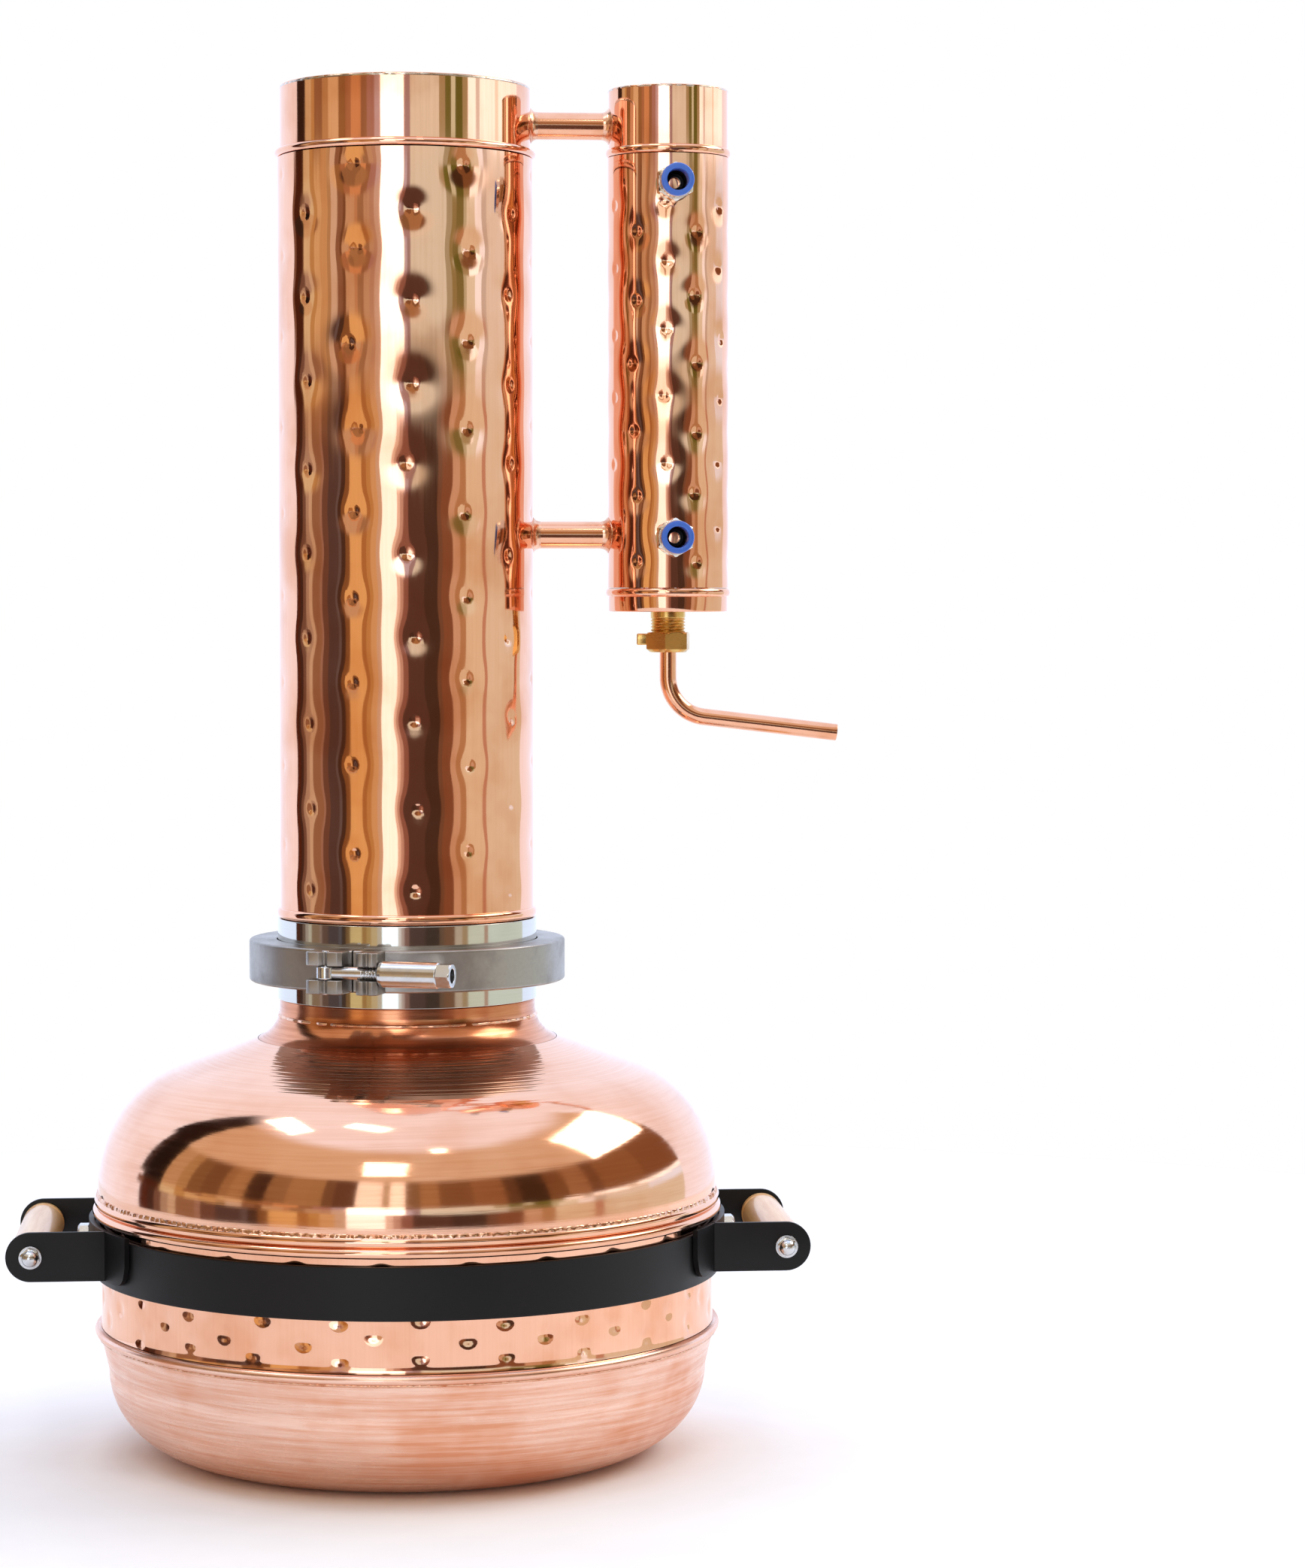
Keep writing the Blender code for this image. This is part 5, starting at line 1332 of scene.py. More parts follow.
@dataclass
class Condenser:
    """Shell-and-tube condenser: hammered jacket, plain headers, tube plates and seven tubes.

    Attributes:
        tube_count: Tubes, of which one stands in the middle.
        pitch: Distance between two hammer marks of a column of marks.
        bead_half: Half the height of a header's bead.
        outlet: Radius of the hole in the lower header.
    """

    tube_count: int = 7
    pitch: float = 38.0
    bead_half: float = 2.5
    outlet: float = 10.6
    jacket: Extent = box_of("condenser_shell")
    top_cap: Extent = box_of("condenser_top_cap")
    bottom_cap: Extent = box_of("condenser_bottom_cap")

    @property
    def header_radius(self) -> float:
        """Radius of both headers."""
        return self.jacket.radius - 0.5

    def rim(self, middle: float) -> np.ndarray:
        """Bead of a header."""
        return bead(self.header_radius, middle, self.top_cap.radius - self.header_radius, self.bead_half)

    def head_outline(self) -> np.ndarray:
        """Upper header from the axis on top, down over its bead and back to the axis inside."""
        radius, inner = self.header_radius, self.header_radius - SHEET
        bottom, top = self.top_cap.low.z, self.top_cap.high.z
        shell = rounded([(0.0, top, 0.0), (radius, top, 0.6), (radius, bottom + 5.4, 0.0)],
                        closed=False)
        return np.concatenate([supported(shell, closed=False), self.rim(bottom + self.bead_half),
                               [[inner, bottom], [inner, top - SHEET], [0.0, top - SHEET]]])

    def foot_outline(self) -> np.ndarray:
        """Lower header as a loop: bead, wall, floor with its hole and the inside back up."""
        radius, inner = self.header_radius, self.header_radius - SHEET
        bottom, top = self.bottom_cap.low.z, self.bottom_cap.high.z
        middle = top - self.bead_half
        return np.concatenate([self.rim(middle), [[radius, middle - 2.9], [radius, bottom + 0.6],
                                                  [radius - 0.2, bottom + 0.2],
                                                  [radius - 0.6, bottom], [self.outlet, bottom],
                                                  [self.outlet, bottom + SHEET], [inner, bottom + SHEET],
                                                  [inner, top]]])

    def build(self) -> None:
        """Build the jacket, both headers and the solder line, and dress the plates and tubes inside."""
        here = at(self.jacket.middle.x, 0.0, 0.0)
        radius, bottom, top = self.jacket.radius, self.jacket.low.z, self.jacket.high.z
        outline = np.concatenate([wall(radius, top, bottom, 170), wall(radius - SHEET, bottom, top, 8)])
        levels = tuple(top - 27.0 - self.pitch * row for row in range(6))
        marks = Dents(12, levels, 262.0, self.pitch / 2, radius, 2.6, 0.55, 8.0, 0.42,
                      1.2, radius - SHEET / 2)
        add_piece("condenser_jacket", Shape.turned(outline, 160, field_of=marks).placed(here),
                  Finish.ROLLED_COPPER, "column", "hammered_copper", "condenser_shell")
        head = Shape.turned(self.head_outline(), 128, closed=False).placed(here)
        add_piece("condenser_head", head, Finish.ROLLED_COPPER, "column", "polished_copper",
                  "condenser_top_cap")
        foot = Shape.turned(self.foot_outline(), 128).placed(here)
        add_piece("condenser_foot", foot, Finish.ROLLED_COPPER, "column", "polished_copper",
                  "condenser_bottom_cap")

        edge = self.header_radius
        line = Run(0.12, (12, 50), 23, edge - 0.9)
        outline = seam(edge - 0.6, self.top_cap.high.z - 0.9, 0.7, 0.7, 0.6,
                       0.5, 6)
        add_piece("condenser_head_solder", Shape.turned(outline, 160, field_of=line).placed(here),
                  Finish.SOLDER, "column", "polished_copper")
        inside = [f"condenser_tube_{number}" for number in range(1, self.tube_count + 1)]
        for name in ("upper_tube_plate", "lower_tube_plate", *inside):
            dress_node(name, Finish.ROLLED_COPPER)


@dataclass
class Bridges:
    """Vapour pipe and brace between column and condenser, with their solder collars.

    Attributes:
        radius: Radius of both pipes.
        bite: How far the brace's ends reach into the walls.
    """

    radius: float = 8.0
    bite: float = 0.4
    vapour: Extent = box_of("vapour_pipe")
    brace: Extent = box_of("brace_pipe")

    def collar(self, height: float, wall_radius: float, wall_x: float, side: float, seed: int) -> Shape:
        """Solder fillet where a pipe meets an upright round wall.

        Formula: a ring round the pipe's axis; each of its points is set at the place along the pipe where
        the wall's circle stands at that distance across, x = wall centre ± sqrt(wall radius² - across²),
        plus the fillet's reach, which falls from 4 mm at the pipe to nothing 3 mm out.
        """
        columns = 72
        angle = np.arange(columns) * TAU / columns
        uneven = Run(0.35, (2, 9), seed)(angle, np.zeros(columns), np.zeros(columns))
        outs = np.array([0.0, 0.15, 0.5, 1.1, 1.9, 2.6, 2.6, 0.0])
        reaches = np.array([4.4, 3.3, 2.2, 1.3, 0.6, 0.1, -0.6, -0.6])
        free = outs > 1.0       # only the fillet's outer half runs unevenly
        radius = self.radius + outs[:, None] + free[:, None] * uneven
        across, level = radius * np.sin(angle), radius * np.cos(angle)
        stand = np.sqrt(np.maximum(wall_radius ** 2 - across ** 2, 0.0)) + reaches[:, None]
        points = np.stack([wall_x + side * stand, across, height + level], axis=-1)
        return Shape.grid(points, wrap_rows=True)

    def build(self) -> None:
        """Build both pipes and the four collars."""
        axis_x, jacket = CONDENSER.middle.x, CONDENSER.radius
        levels = (("vapour", self.vapour, COLUMN_RADIUS - 1.4, jacket - 0.5),
                  ("brace", self.brace, COLUMN_RADIUS, jacket))
        for index, (label, extent, column_wall, jacket_wall) in enumerate(levels):
            z = extent.middle.z
            start, end = extent.low.x, extent.high.x
            if label == "brace":
                start, end = column_wall - self.bite, axis_x - jacket_wall + self.bite
            pipe = Shape.turned(ring(self.radius - 1.0, self.radius, start, end), 64)
            add_piece(f"{label}_bridge", pipe.placed(at(0.0, 0.0, z, Direction.ALONG_X)), Finish.COPPER_TUBE,
                      "column", "polished_copper", f"{label}_pipe")
            near = self.collar(z, column_wall, 0.0, 1.0, 31 + index)
            far = self.collar(z, jacket_wall, axis_x, -1.0, 41 + index)
            for place, shape in (("column", near), ("condenser", far)):
                add_piece(f"{label}_solder_{place}", shape, Finish.BRAZE, "column", "polished_copper",
                          f"{label}_collar_{place}")


@dataclass
class WaterPort:
    """Push-in water coupling: hexagon body, seal that also lines the bore as painted shade, and blue release
    collet.

    Attributes:
        label: Which port, upper or lower.
        across: Hexagon's size across the flats.
        hexagon: Hexagon's length.
        nose: Length of the round nose.
    """

    label: str
    across: float = 20.0
    hexagon: float = 12.0
    nose: float = 8.0

    def build(self) -> None:
        """Build the body with its solder, the seal, which runs down the whole bore as painted shade, and the
        collet.
        """
        body = Extent.of(f"{self.label}_port_body")
        collet = Extent.of(f"{self.label}_port_collet")
        here = at(body.middle.x, 0.0, body.middle.z, Direction.FRONT)
        nose_end = -body.low.y
        hex_end = nose_end - self.nose
        hex_start, spigot_end = hex_end - self.hexagon, CONDENSER.radius - 2.5
        corner = self.across / 2 / math.cos(math.radians(30))
        bore, seat = hex_start + 2.0, nose_end - 12.9
        corners = [(9.6, nose_end, 0.6), (9.6, hex_end, 0.2), (9.9, hex_end, 0.1),
                   (corner, hex_end - 1.0, 0.1), (corner, hex_start + 0.8, 0.1), (9.9, hex_start, 0.2),
                   (5.0, hex_start, 0.2), (5.0, spigot_end, 0.2), (3.2, spigot_end, 0.2), (3.2, bore, 0.2),
                   (6.2, bore, 0.2), (6.2, seat, 0.2), (7.7, seat, 0.2), (7.7, nose_end, 0.4)]
        flats = Hexagon(self.across, outside=9.65)
        hull = Shape.lathed(corners, 120, steps=3, field_of=flats).placed(here)
        add_piece(f"{self.label}_port", hull, Finish.NICKEL_PLATE, "column", "nickel",
                  f"{self.label}_port_body")

        # The black rubber seal runs from the lip down the bore and over the tube stop: a real seal at its
        # seat, and painted shade over the nickel deeper in the bore.
        floor, lip = bore + 0.1, nose_end - 7.3
        corners = [(7.4, lip, 0.4), (7.4, seat + 0.2, 0.3), (6.1, seat + 0.1, 0.1), (6.1, floor, 0.2),
                   (3.4, floor, 0.2), (3.4, floor + 0.8, 0.3), (5.6, floor + 0.8, 0.6),
                   (5.6, seat + 0.9, 0.4), (6.2, lip, 0.4)]
        rubber = Shape.lathed(corners, 64, steps=3).placed(here)
        add_piece(f"{self.label}_seal", rubber, Finish.EPDM, "column", "black_rubber",
                  f"{self.label}_port_seal")

        front, back = -collet.low.y, -collet.high.y
        neck = front - 3.4
        corners = [(9.1, front, 0.7), (9.5, front - 1.0, 0.4), (9.5, neck, 0.4), (7.4, neck, 0.3),
                   (7.4, back, 0.3), (6.2, back, 0.3), (6.2, front, 0.8)]
        sleeve = Shape.lathed(corners, 120).placed(here)
        add_piece(f"{self.label}_collet", sleeve, Finish.ACETAL, f"{self.label}_collet", "blue_plastic",
                  f"{self.label}_port_collet")
        self.build_solder(body.middle.x, body.middle.z)

    def build_solder(self, x: float, z: float) -> None:
        """Build the uneven patch of solder where the spigot, at this x and z, enters the jacket.

        Formula: rings round the spigot's axis, laid on the jacket's circle, y = -sqrt(jacket² - across²),
        and standing proud by a height that falls to nothing at the patch's edge.
        """
        columns = 72
        angle = np.arange(columns) * TAU / columns
        uneven = Run(0.9, (2, 8), 51 + len(self.label))(angle, np.zeros(columns), np.zeros(columns))
        radii = np.array([5.05, 6.0, 7.5, 9.0, 10.4, 10.4, 5.05])
        proud = np.array([0.9, 0.85, 0.7, 0.45, 0.12, -0.5, -0.5])
        free = radii > 6.5      # only the patch's outer half runs unevenly
        radius = radii[:, None] + free[:, None] * uneven
        across, level = radius * np.cos(angle), radius * np.sin(angle)
        stand = np.sqrt(CONDENSER.radius ** 2 - across ** 2) + proud[:, None]
        points = np.stack([x + across, -stand, z + level], axis=-1)
        add_piece(f"{self.label}_port_solder", Shape.grid(points, wrap_rows=True), Finish.SOLDER, "column",
                  "nickel")


@dataclass
class Outlet:
    """Brass compression fitting under the condenser and the bent spout.

    Attributes:
        bend: Radius of the spout's bend.
        drop: Nut's foot to the start of the bend.
        fall: Fall of the spout's run, in degrees.
        run: Length of the spout's run.
        bore: Radius of the hole that the spout passes through.
        across: Size of the nut's hexagon across its flats.
    """

    bend: float = 24.0
    drop: float = 14.5
    fall: float = 6.8
    run: float = 80.0
    bore: float = 5.3
    across: float = 24.0
    nipple: Extent = box_of("outlet_nipple")
    nut: Extent = box_of("outlet_nut")
    spout: Extent = box_of("outlet_spout")

    def path(self) -> np.ndarray:
        """Middle line of the spout: down, round a quarter bend less the fall, then straight.

        Formula: in the bend x = centre + bend (1 - cos t) and z = top - bend sin t, for t up to 90° - fall.
        """
        x, top = self.nipple.middle.x, self.spout.high.z
        bend_top = self.nut.low.z - self.drop
        fall = math.radians(self.fall)
        down = np.stack([np.full(6, x), np.zeros(6), np.linspace(top, bend_top + 0.5, 6)], axis=1)
        turn = np.linspace(0.0, math.pi / 2 - fall, 20)
        curve = np.stack([x + self.bend * (1 - np.cos(turn)), np.zeros(20),
                          bend_top - self.bend * np.sin(turn)], axis=1)
        way = np.array([math.cos(fall), 0.0, -math.sin(fall)])
        straight = curve[-1] + way * np.linspace(0.5, self.run, 12)[:, None]
        return np.concatenate([down, curve, straight])

    def build(self) -> None:
        """Build the nipple, the nut with its lug, the ring and the spout."""
        x, bore = self.nipple.middle.x, self.bore
        low, high = self.nipple.low.z, self.nipple.high.z
        shoulder = high - 2.7
        outline = np.concatenate([[[12.3, high], [12.3, shoulder]],
                                  wall(10.3, shoulder, low + 0.5, 110),
                                  [[9.8, low], [bore, low], [bore, high]]])
        thread = Thread(1.8, 0.9, low, shoulder - 4.6, 9.6)
        nipple = Shape.turned(outline, 72, field_of=thread).placed(at(x, 0.0, 0.0))
        add_piece("nipple", nipple, Finish.TURNED_BRASS, "column", "brass", "outlet_nipple")

        bottom, top = self.nut.low.z, self.nut.high.z
        floor, inner = bottom + 3.0, 10.6
        corner = self.across / 2 / math.cos(math.radians(30))
        corners = [(12.2, top, 0.2), (corner, top - 1.0, 0.1), (corner, bottom + 2.0, 0.1),
                   (inner, bottom, 0.4), (bore, bottom, 0.3), (bore, floor, 0.2), (inner, floor, 0.2),
                   (inner, top, 0.3)]
        flats = Hexagon(self.across, 48.0, 10.7)
        hexagon = Shape.lathed(corners, 120, steps=3, field_of=flats).placed(at(x, 0.0, 0.0))
        tab = np.array([[-18.6, 2.2], [-18.6, -2.2], [-11.2, -2.5], [-11.2, 2.5]])
        lug = Shape.slab(rounded([(*place, 0.8) for place in tab], steps=3), 6.7, 0.8)
        nut = hexagon.joined(lug.placed(at(x, 0.0, top - 4.15)))
        add_piece("compression_nut", nut, Finish.TURNED_BRASS, "compression_nut", "brass", "outlet_nut")
        dress_node("outlet_olive", Finish.TURNED_BRASS)
        spout = Shape.pipe(self.path(), 5.0, 4.0, 40)
        add_piece("spout_tube", spout, Finish.COPPER_TUBE, "spout", "polished_copper", "outlet_spout")


class Side(Enum):
    """The two handles."""

    RIGHT = "right"
    LEFT = "left"

    def matrix(self) -> Matrix:
        """Half turn about Z for the left handle."""
        return Matrix.Rotation(math.pi, 4, "Z") if self is Side.LEFT else Matrix.Identity(4)


@dataclass
class CarryingFrame:
    """Black strap hoop with two brackets, their bolts, grips, rods and dome nuts.

    Attributes:
        strap: Thickness of the steel.
        saddle_half: Half the angle of a saddle, in degrees.
        spacing: Half the distance between a bracket's arms.
        grip_radius: Radius of the grips.
        saddle_corner: Radius of the saddle's lower corners.
        bolt_across: Size of a hoop bolt's head across its flats.
    """

    strap: float = 3.0
    saddle_half: float = 29.5
    spacing: float = 64.0
    grip_radius: float = 12.3
    saddle_corner: float = 12.0
    bolt_across: float = 17.0
    hoop: Extent = box_of("hoop")

    def build(self) -> None:
        """Build the hoop and both handles."""
        hoop = self.hoop
        outline = ring(hoop.radius - self.strap, hoop.radius, hoop.low.z, hoop.high.z, 0.5)
        add_piece("strap_hoop", Shape.turned(outline, 288), Finish.POWDER_COAT, "pot", "black_steel", "hoop")
        for side in Side:
            self.build_bracket(side)
            self.build_bolt(side)
            self.build_grip(side)

    def saddle(self, inner: float, outer: float, low: float, high: float) -> Shape:
        """Saddle of the right bracket.

        Formula: a rectangle, whose height is counted in thousandths, is carried round the hoop; towards both
        ends its lower edge rises along a quarter circle.
        """
        loop = supported(np.array([(outer, 1000.0), (outer, 0.0), (inner, 0.0), (inner, 1000.0)]))
        end, corner = math.radians(self.saddle_half), self.saddle_corner / outer
        angle = np.linspace(-end, end, 73)
        near = np.clip((np.abs(angle) - (end - corner)) / corner, 0.0, 1.0)
        rise = self.saddle_corner * (1 - np.sqrt(np.maximum(1 - near ** 2, 0.0)))
        heights = (low + rise)[:, None] + loop[None, :, 1] / 1000 * (high - low - rise)[:, None]
        across = [loop[None, :, 0] * turn(angle)[:, None] for turn in (np.cos, np.sin)]
        return Shape.loft(np.stack([*across, heights], axis=-1))

    def weld(self, low: float, high: float) -> Shape:
        """Upright weld bead: a half-round section whose size follows a sine along its height."""
        outline = seam(0.0, 0.0, 1.1, 1.1, 0.6, 0.9)
        levels = np.linspace(low + 2, high - 2, 40)
        swell = 1 + 0.08 * np.sin(levels * TAU / (4.2))
        heights = np.repeat(levels[:, None, None], len(outline), axis=1)
        return Shape.loft(np.concatenate([outline[None] * swell[:, None, None], heights], axis=2))

    def build_bracket(self, side: Side) -> None:
        """Build a saddle with its two arms and the welds between them."""
        extent = Extent.of(f"{side.value}_bracket")
        low, high = extent.low.z, extent.high.z
        inner = self.hoop.radius + 0.3
        outer = inner + self.strap
        half = (high - low) / 2
        grip_x = abs(Extent.of(f"{side.value}_grip").middle.x)
        root = math.sqrt(inner ** 2 - self.spacing ** 2) - grip_x + 1.2
        foot = math.sqrt(outer ** 2 - self.spacing ** 2) + 0.2
        outline = np.concatenate([arc((0.0, 0.0), half, half, -90, 90, 28),
                                  np.linspace([-1, half], [root, half], 4),
                                  np.linspace([root, -half], [-1, -half], 4)])
        arm, weld = Shape.slab(outline, self.strap, 0.6), self.weld(low, high)
        arms = [arm.placed(at(grip_x, sign * self.spacing, extent.middle.z, Direction.FRONT))
                for sign in (-1, 1)]
        welds = [weld.placed(at(foot, sign * (self.spacing - 1.8), 0.0)) for sign in (-1, 1)]
        bracket = self.saddle(inner, outer, low, high).joined(*arms, *welds).placed(side.matrix())
        add_piece(f"{side.value}_handle_bracket", bracket, Finish.POWDER_COAT, "pot", "black_steel",
                  f"{side.value}_bracket")

    def build_bolt(self, side: Side) -> None:
        """Build the hexagon bolt that holds the saddle to the hoop."""
        extent = Extent.of(f"{side.value}_hoop_bolt")
        near, far = sorted((abs(extent.low.x), abs(extent.high.x)))
        head = far - 6.4
        corner = self.bolt_across / 2 / math.cos(math.radians(30))
        corners = [(0.0, far, 0.0), (7.6, far, 0.4), (corner, far - 1.3, 0.1), (corner, head, 0.2),
                   (5.0, head, 0.2), (5.0, near, 0.3), (0.0, near, 0.0)]
        flats = Hexagon(self.bolt_across, outside=5.5)
        bolt = Shape.lathed(corners, 96, closed=False, steps=3, field_of=flats)
        place = side.matrix() @ at(0.0, 0.0, extent.middle.z, Direction.ALONG_X)
        add_piece(f"{side.value}_saddle_bolt", bolt.placed(place), Finish.ZINC_PLATE, "pot", "zinc_steel",
                  f"{side.value}_hoop_bolt")

    def build_grip(self, side: Side) -> None:
        """Build the turned grip, its rod and the two dome nuts with their washers."""
        grip, rod = Extent.of(f"{side.value}_grip"), Extent.of(f"{side.value}_grip_rod")
        x, z, half = grip.middle.x, grip.middle.z, grip.high.y
        radius, bore = self.grip_radius, 3.3
        groove, depth, width = half - 9.0, 1.3, 1.5
        upper = rounded([(bore, half, 0.3), (radius, half, 2.4), (radius, groove + width, 0.3),
                         (radius - depth, groove, 0.3), (radius, groove - width, 0.3),
                         (radius, 0.0, 0.0)], closed=False)
        lower = upper[:-1][::-1] * np.array([1.0, -1.0])
        front = at(x, 0.0, z, Direction.FRONT)
        wood = Shape.turned(supported(np.concatenate([upper, lower])), 72).placed(front)
        add_piece(f"{side.value}_wood", wood, Finish.BEECH, f"{side.value}_handle", "beech",
                  f"{side.value}_grip")
        shaft = Shape.turned(solid(3.0, rod.low.y, rod.high.y, 0.4), 32, closed=False)
        add_piece(f"{side.value}_rod", shaft.placed(front), Finish.ZINC_PLATE, "pot", "zinc_steel",
                  f"{side.value}_grip_rod")
        for label in ("front", "rear"):
            node_name = f"{side.value}_grip_nut_{label}"
            extent = Extent.of(node_name)
            near, far = sorted((abs(extent.low.y), abs(extent.high.y)))
            way = Direction.FRONT if extent.middle.y < 0 else Direction.REAR
            nut = self.dome_nut(near, far).placed(at(x, 0.0, z, way))
            add_piece(f"{side.value}_dome_nut_{label}", nut, Finish.ZINC_PLATE, "pot", "zinc_steel",
                      node_name)

    def dome_nut(self, near: float, far: float) -> Shape:
        """Washer and dome nut that reach from near to far along the Z axis."""
        bore, face, shoulder = 3.2, near + 1.3, near + 4.4
        dome = arc((0.0, shoulder), 4.6, far - shoulder, 90, 0, 10)
        skirt = rounded([(4.6, shoulder, 0.0), (5.9, shoulder - 0.5, 0.2),
                         (5.9, face, 0.2), (bore, face, 0.2), (bore, shoulder, 0.2),
                         (0.0, shoulder, 0.0)], closed=False)
        cap = Shape.turned(supported(np.concatenate([dome, skirt[1:]]), closed=False), 72, closed=False,
                           field_of=Hexagon(10.4, 12.0, 4.7))
        return Shape.turned(ring(bore, 6.6, near, face, 0.3), 48).joined(cap)


# ---- studio

@dataclass(frozen=True)
class Panel:
    """One stop of the room's brightness round the horizon.

    Attributes:
        angle: Direction from the front, towards +X, in degrees.
        colour: Colour of the wall there.
        level: Brightness.
    """

    angle: float
    colour: str
    level: float = 1.0


@dataclass(frozen=True)
class Storey:
    """The room's brightness round the horizon, upward from one height.

    Attributes:
        foot: Elevation where it starts, in degrees.
        blur: Half the softness of its start, in degrees.
        parts: Stops round the horizon.
    """

    foot: float
    blur: float
    parts: tuple[Panel, ...]


@dataclass(frozen=True)
class Lamp:
    """Soft lamp, by the direction it is seen in from the still.

    Attributes:
        name: Lamp's name.
        azimuth: Direction from the front, towards +X, in degrees.
        elevation: Height above the horizon, in degrees.
        width: Width of its face.
        height: Height of its face.
        radiance: Brightness of its face.
    """

    name: str
    azimuth: float
    elevation: float
    width: float
    height: float
    radiance: float


CLOTH = "#DDE8FF"
CLOTH_LEVEL = 1.5


def room(*rows: tuple) -> tuple[Panel, ...]:
    """Room panels, with white cloth from the right round the back to the first of them."""
    return tuple(Panel(*row) for row in ((-180, CLOTH, CLOTH_LEVEL), *rows, (122, CLOTH, CLOTH_LEVEL)))


# Room at the height of the bench, from the left round to the right
LOWER_ROOM = room(
    (-119, "#552C1A"), (-113, "#4A342C"), (-108.5, "#7A6054"), (-105, "#B5A494"), (-101, "#D2C6B0"),
    (-96, "#9C7C62"), (-87, "#A68A7C"), (-83, "#74574B"), (-76, "#5C4C4A"), (-66, "#6B6367"),
    (-63, "#4F3B30"), (-58, "#8A6540"), (-54, "#ECCA8C"), (-43, "#B5854F"), (-38, "#C8A065"),
    (-34, "#DCBC8C"), (-28.5, "#D8C6B0"), (-24, "#EAF6FF", 2.0), (-11, "#F6E8E0"), (-8, "#CDB0A6"),
    (-5, "#966E62"), (-1, "#5E463E"), (14, "#4E3C32"), (26, "#7A5C48"), (30, "#8A6046"), (40, "#D6BCA4"),
    (47, "#BE9B74"), (53, "#EBE8D2"), (70, "#CBA48F"), (74, "#EAEEE0"))
# Room above it: shelves and posts on the left, a window, pale screens on the right
UPPER_ROOM = room(
    (-121, "#7E5E4C"), (-118, "#4C2A1C"), (-108, "#7C6248"), (-106, "#E2DCB8"), (-98, "#C6A66F"),
    (-92.5, "#DFC89A"), (-85, "#D4B686"), (-76, "#BCA278"), (-72, "#DCD0BE"), (-66, "#947258"),
    (-60, "#7E5A3E"), (-57, "#D2B896"), (-49, "#C6A07A"), (-45.5, "#A88968"), (-40, "#CBB296"),
    (-34, "#C3A691"), (-30.5, "#D7C8BC"), (-24, "#F2F6FF", 3.4), (-4, "#CCCEEA"), (-1, "#A89CA8"),
    (2, "#E8FAF6"), (34, "#B4BAA2"), (40, "#9A9565"), (45, "#85844F"), (51, "#C8D2B8"), (54, "#EEFBEE"),
    (63, "#D6EAFF", 1.7), (69, "#D6DCDC"), (75, "#F0FAFA"), (98, "#CBE2FF", 1.6))
# Room that the caps face: the same posts, thicker, and the screens' bright upper edge
CAP_ROOM = room(
    (-119, "#3A2A22"), (-106, "#D8C49C"), (-98, "#C8A46C"), (-93, "#9A7452"), (-83, "#C4A274"),
    (-76, "#E6CFA6"), (-65, "#A27C50"), (-58, "#B28460"), (-53, "#DCA878"), (-43, "#A07858"),
    (-37, "#B48E88"), (-30, "#CDC0D0"), (-25, "#F2F6FF", 3.4), (-3, "#B4A2AC"), (2, "#EEFAF2"),
    (29, "#B0A880"), (34, "#767A3A"), (40, "#DEF0DA"), (45, "#6E7434"), (51, "#AEA880"),
    (57, "#E6F4FF", 2.0), (65, "#E4ECF0", 1.1), (70, "#E6F4FF", 2.0), (88, "#F0F8F8", 1.4),
    (92, "#E6F4FF", 2.0))
# Walls under the ceiling
WALLS = room(
    (-121, "#3A2A22"), (-118, "#241A17"), (-108, "#3A2C24"), (-106, "#C8AC86"), (-98, "#B89A6C"),
    (-92.5, "#8A6A48"), (-85, "#7E5E40"), (-76, "#A8865E"), (-72, "#B8986E"), (-66, "#4E382B"),
    (-60, "#463026"), (-57, "#9C7C58"), (-49, "#B08C64"), (-40, "#AC8A60"), (-34, "#7E5E44"),
    (-30.5, "#6E4E3A"), (-22, "#F2F0EA", 1.5), (-12, "#C8B494"), (-9, "#F2F0EA", 1.7), (-4, "#8E7050"),
    (2, "#B08A62"), (9, "#8A6646"), (22, "#9C7450"), (34, "#6A4E36"), (40, "#4A3626"), (51, "#84603F"),
    (60, "#A88460"), (69, "#7E5A3E"), (75, "#946C48"), (98, "#8A6040"))


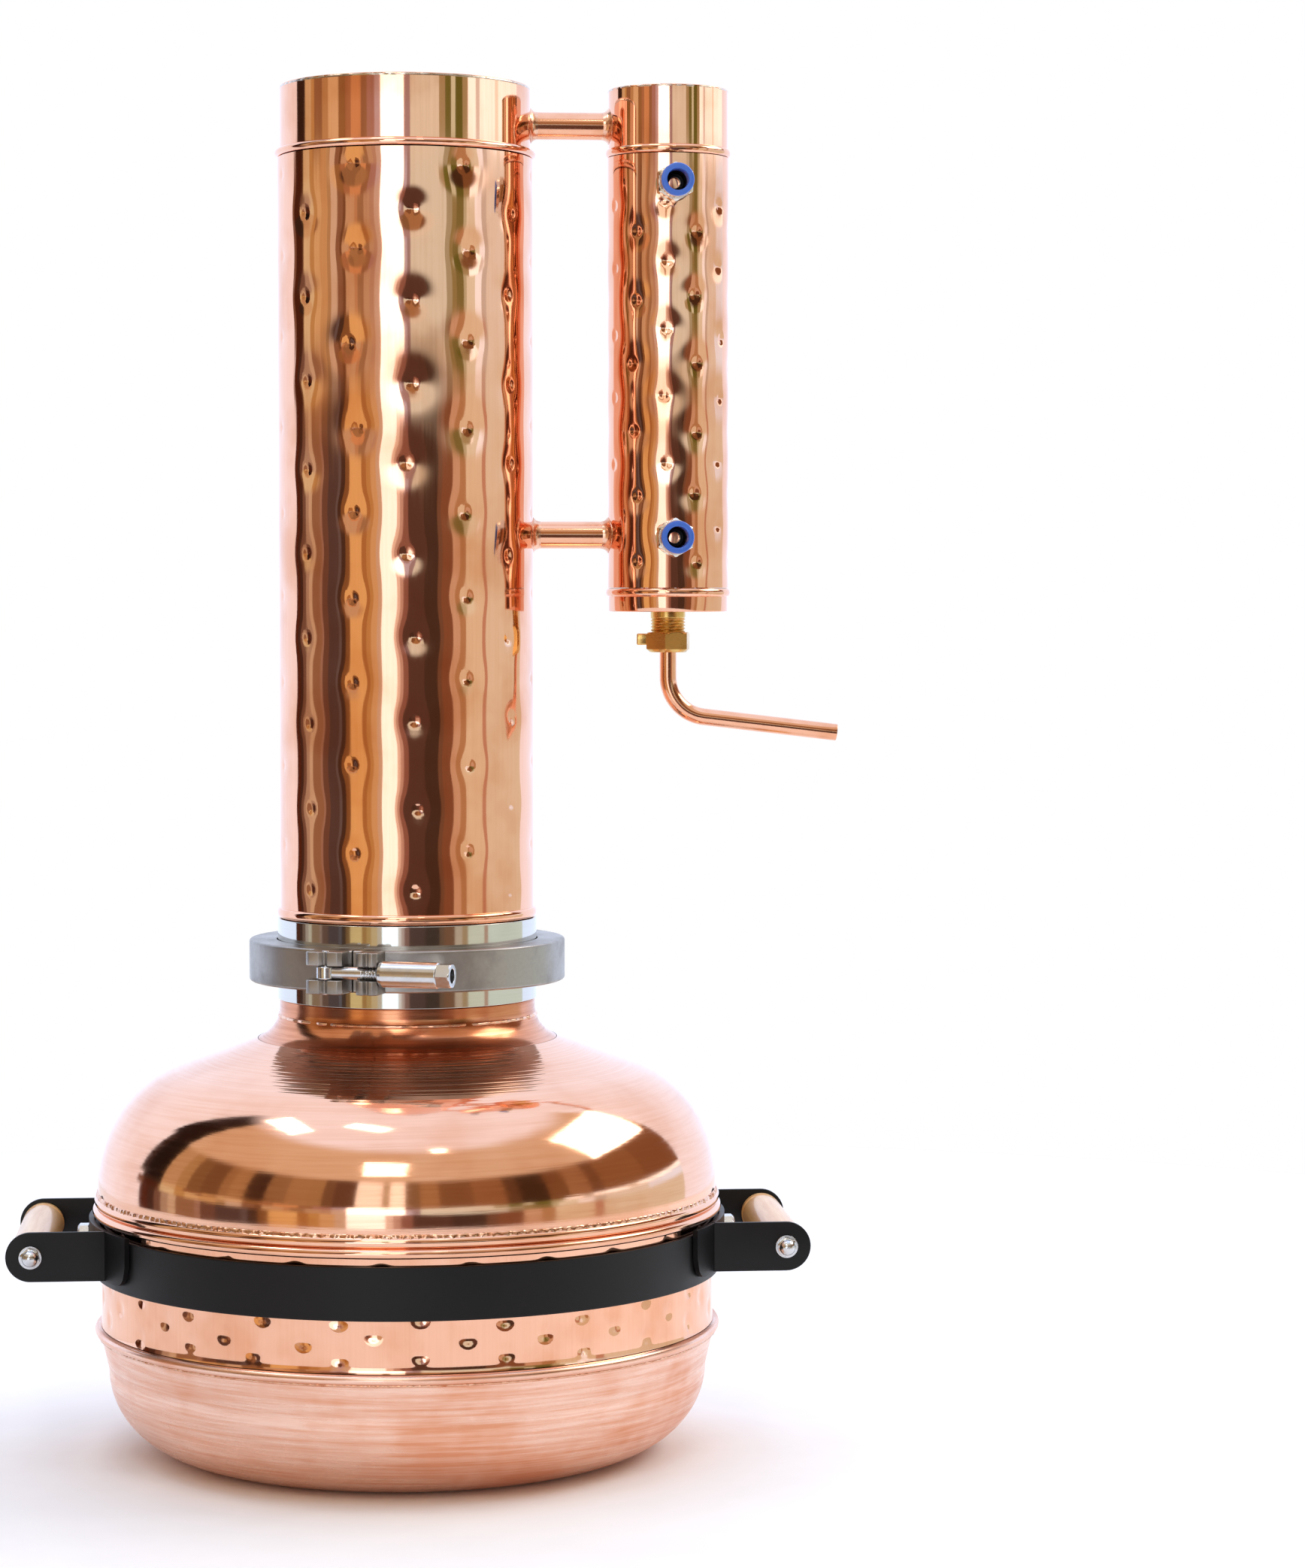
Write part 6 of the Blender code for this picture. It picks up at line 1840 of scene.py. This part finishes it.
@dataclass
class Studio:
    """Pale floor, soft light and the camera.

    Attributes:
        eye: Camera's place.
        turn: Camera's turn to the right, in degrees.
        tilt: Camera's tilt down, in degrees.
        lens: Focal length for a 36 mm tall frame, in millimetres.
        floor_radius: Radius of the floor, in millimetres; all other lengths here are metres.
        strength: Brightest level of the room.
        lamp_distance: Distance of the lamps.
        levels: The room's storeys from the lowest.
        lamps: The lamps.
    """

    eye: tuple[float, float, float] = (-0.067, -2.333, 0.5045)
    turn: float = 5.2
    tilt: float = 2.75
    lens: float = 90.83
    floor_radius: float = 1300.0
    strength: float = 4.0
    lamp_distance: float = 2.5
    levels: tuple[Storey, ...] = (
        Storey(-90, 0, LOWER_ROOM), Storey(3.1, 1.1, UPPER_ROOM), Storey(6.3, 0.1, CAP_ROOM),
        Storey(8.2, 0.5, WALLS),
        Storey(30, 2, room((-125, "#2B1D18"), (-112, "#2B1D18"), (-108, "#E6D2B8"), (0, "#E8DAC6"),
                           (110, "#E6D2B8"))),
        Storey(57, 4, (Panel(-180, CLOTH, CLOTH_LEVEL), Panel(180, CLOTH, CLOTH_LEVEL))),
    )
    lamps: tuple[Lamp, ...] = (
        Lamp("lamp_left", -90, 62, 0.75, 0.30, 6.0),
        Lamp("lamp_top", -45, 76, 0.50, 0.20, 6.0),
        Lamp("window_front", -11, 38, 0.62, 0.50, 3.2),
        Lamp("lamp_small", 14, 54, 0.18, 0.12, 8.0),
        Lamp("softbox_right", 96, 40, 1.50, 0.95, 4.0),
    )

    def build_camera(self) -> None:
        """Add the camera and make it the scene's."""
        camera = bpy.data.cameras.new("camera")
        camera.lens = self.lens
        camera.sensor_width = 36.0
        camera.sensor_height = 36.0
        camera.sensor_fit = "AUTO"
        camera.clip_end = 100.0
        item = bpy.data.objects.new("camera", camera)
        item.location = self.eye
        item.rotation_euler = (math.radians(90 - self.tilt), 0.0, math.radians(-self.turn))
        bpy.context.scene.collection.objects.link(item)
        bpy.context.scene.camera = item

    def build_floor(self) -> None:
        """Add the plain pale floor, a disc round the still."""
        turn = np.arange(96) * TAU / 96
        outline = self.floor_radius * np.stack([np.cos(turn), np.sin(turn)], axis=1)
        floor = Shape.slab(outline, 20.0, 1.0).placed(at(0.0, 0.0, -10.0))
        item = bpy.data.objects.new("floor", floor.mesh("floor"))
        white = Coated("floor_matt_white", "#FDFDFD", "#FBFBFB", 0.8, 0.05, 2.0 * MM, 0.0)
        item.data.materials.append(white.build())
        bpy.context.scene.collection.objects.link(item)

    def room_ring(self, tree: bpy.types.NodeTree, share: bpy.types.NodeSocket,
                  parts: Sequence[Panel]) -> bpy.types.NodeSocket:
        """Brightness of the room round the horizon at one height, as a colour ramp over the direction."""
        ramp = set_stops(node(tree, "ValToRGB", {0: share}),
                         [((part.angle + 180) / 360, part.colour) for part in parts])
        ramp.color_ramp.interpolation = "CONSTANT"
        for element, part in zip(ramp.color_ramp.elements, parts):
            dimmed = part.level / self.strength
            element.color = (*(channel * dimmed for channel in linear(part.colour)[:3]), 1.0)
        return ramp.outputs[0]

    def build_world(self) -> None:
        """Light the room: white cloth behind and beside the still, a brown room in front, a white ceiling."""
        world = bpy.data.worlds.new("studio")
        bpy.context.scene.world = world
        world.use_nodes = True
        tree = world.node_tree
        tree.nodes.clear()
        way = node(tree, "TexCoord").outputs["Generated"]
        split = node(tree, "SeparateXYZ", {0: way})
        front = node(tree, "Math", {0: split.outputs[1], 1: -1.0}, operation="MULTIPLY")
        azimuth = node(tree, "Math", {0: split.outputs[0], 1: front.outputs[0]}, operation="ARCTAN2")
        share = node(tree, "MapRange", {0: azimuth.outputs[0], 1: -math.pi, 2: math.pi}).outputs[0]

        seen = self.room_ring(tree, share, self.levels[0].parts)
        for storey in self.levels[1:]:
            low, high = (math.sin(math.radians(storey.foot + half)) for half in (-storey.blur, storey.blur))
            above = node(tree, "MapRange", {0: split.outputs[2], 1: low, 2: high},
                         interpolation_type="SMOOTHSTEP")
            over = self.room_ring(tree, share, storey.parts)
            mixed = node(tree, "Mix", {0: above.outputs[0], 6: seen, 7: over}, data_type="RGBA")
            seen = mixed.outputs[2]
        lit = node(tree, "Background", {"Color": seen, "Strength": self.strength})
        plain = node(tree, "Background", {"Color": linear("#FFFFFF"), "Strength": 1.0})
        camera = node(tree, "LightPath").outputs["Is Camera Ray"]
        shown = node(tree, "MixShader", {0: camera, 1: lit.outputs[0], 2: plain.outputs[0]})
        node(tree, "OutputWorld", {0: shown.outputs[0]})

    def add_lamp(self, lamp: Lamp) -> None:
        """Add a soft rectangular lamp that faces the still."""
        light = bpy.data.lights.new(lamp.name, "AREA")
        light.shape = "RECTANGLE"
        light.size, light.size_y = lamp.width, lamp.height
        light.energy = lamp.radiance * math.pi * lamp.width * lamp.height
        turn, rise = math.radians(lamp.azimuth), math.radians(lamp.elevation)
        way = Vector((math.sin(turn) * math.cos(rise), -math.cos(turn) * math.cos(rise), math.sin(rise)))
        item = bpy.data.objects.new(lamp.name, light)
        item.location = Vector((0.0, 0.0, 0.2)) + way * self.lamp_distance
        item.rotation_euler = (-way).to_track_quat("-Z", "Y").to_euler()
        bpy.context.scene.collection.objects.link(item)

    def build(self) -> None:
        """Build the camera, the floor, the world and the lamps."""
        self.build_camera()
        self.build_floor()
        self.build_world()
        for lamp in self.lamps:
            self.add_lamp(lamp)
        bpy.context.scene.view_settings.view_transform = "Standard"


def main() -> None:
    """Build the still and its studio."""
    logging.basicConfig(level=logging.INFO, format="%(name)s %(message)s")
    for assembly in (Studio(), Pot(), Union(), Column(), Condenser(), Bridges(), WaterPort("upper"),
                     WaterPort("lower"), Outlet(), CarryingFrame()):
        LOG.info("building %s", type(assembly).__name__)
        assembly.build()


if __name__ == "__main__":
    main()
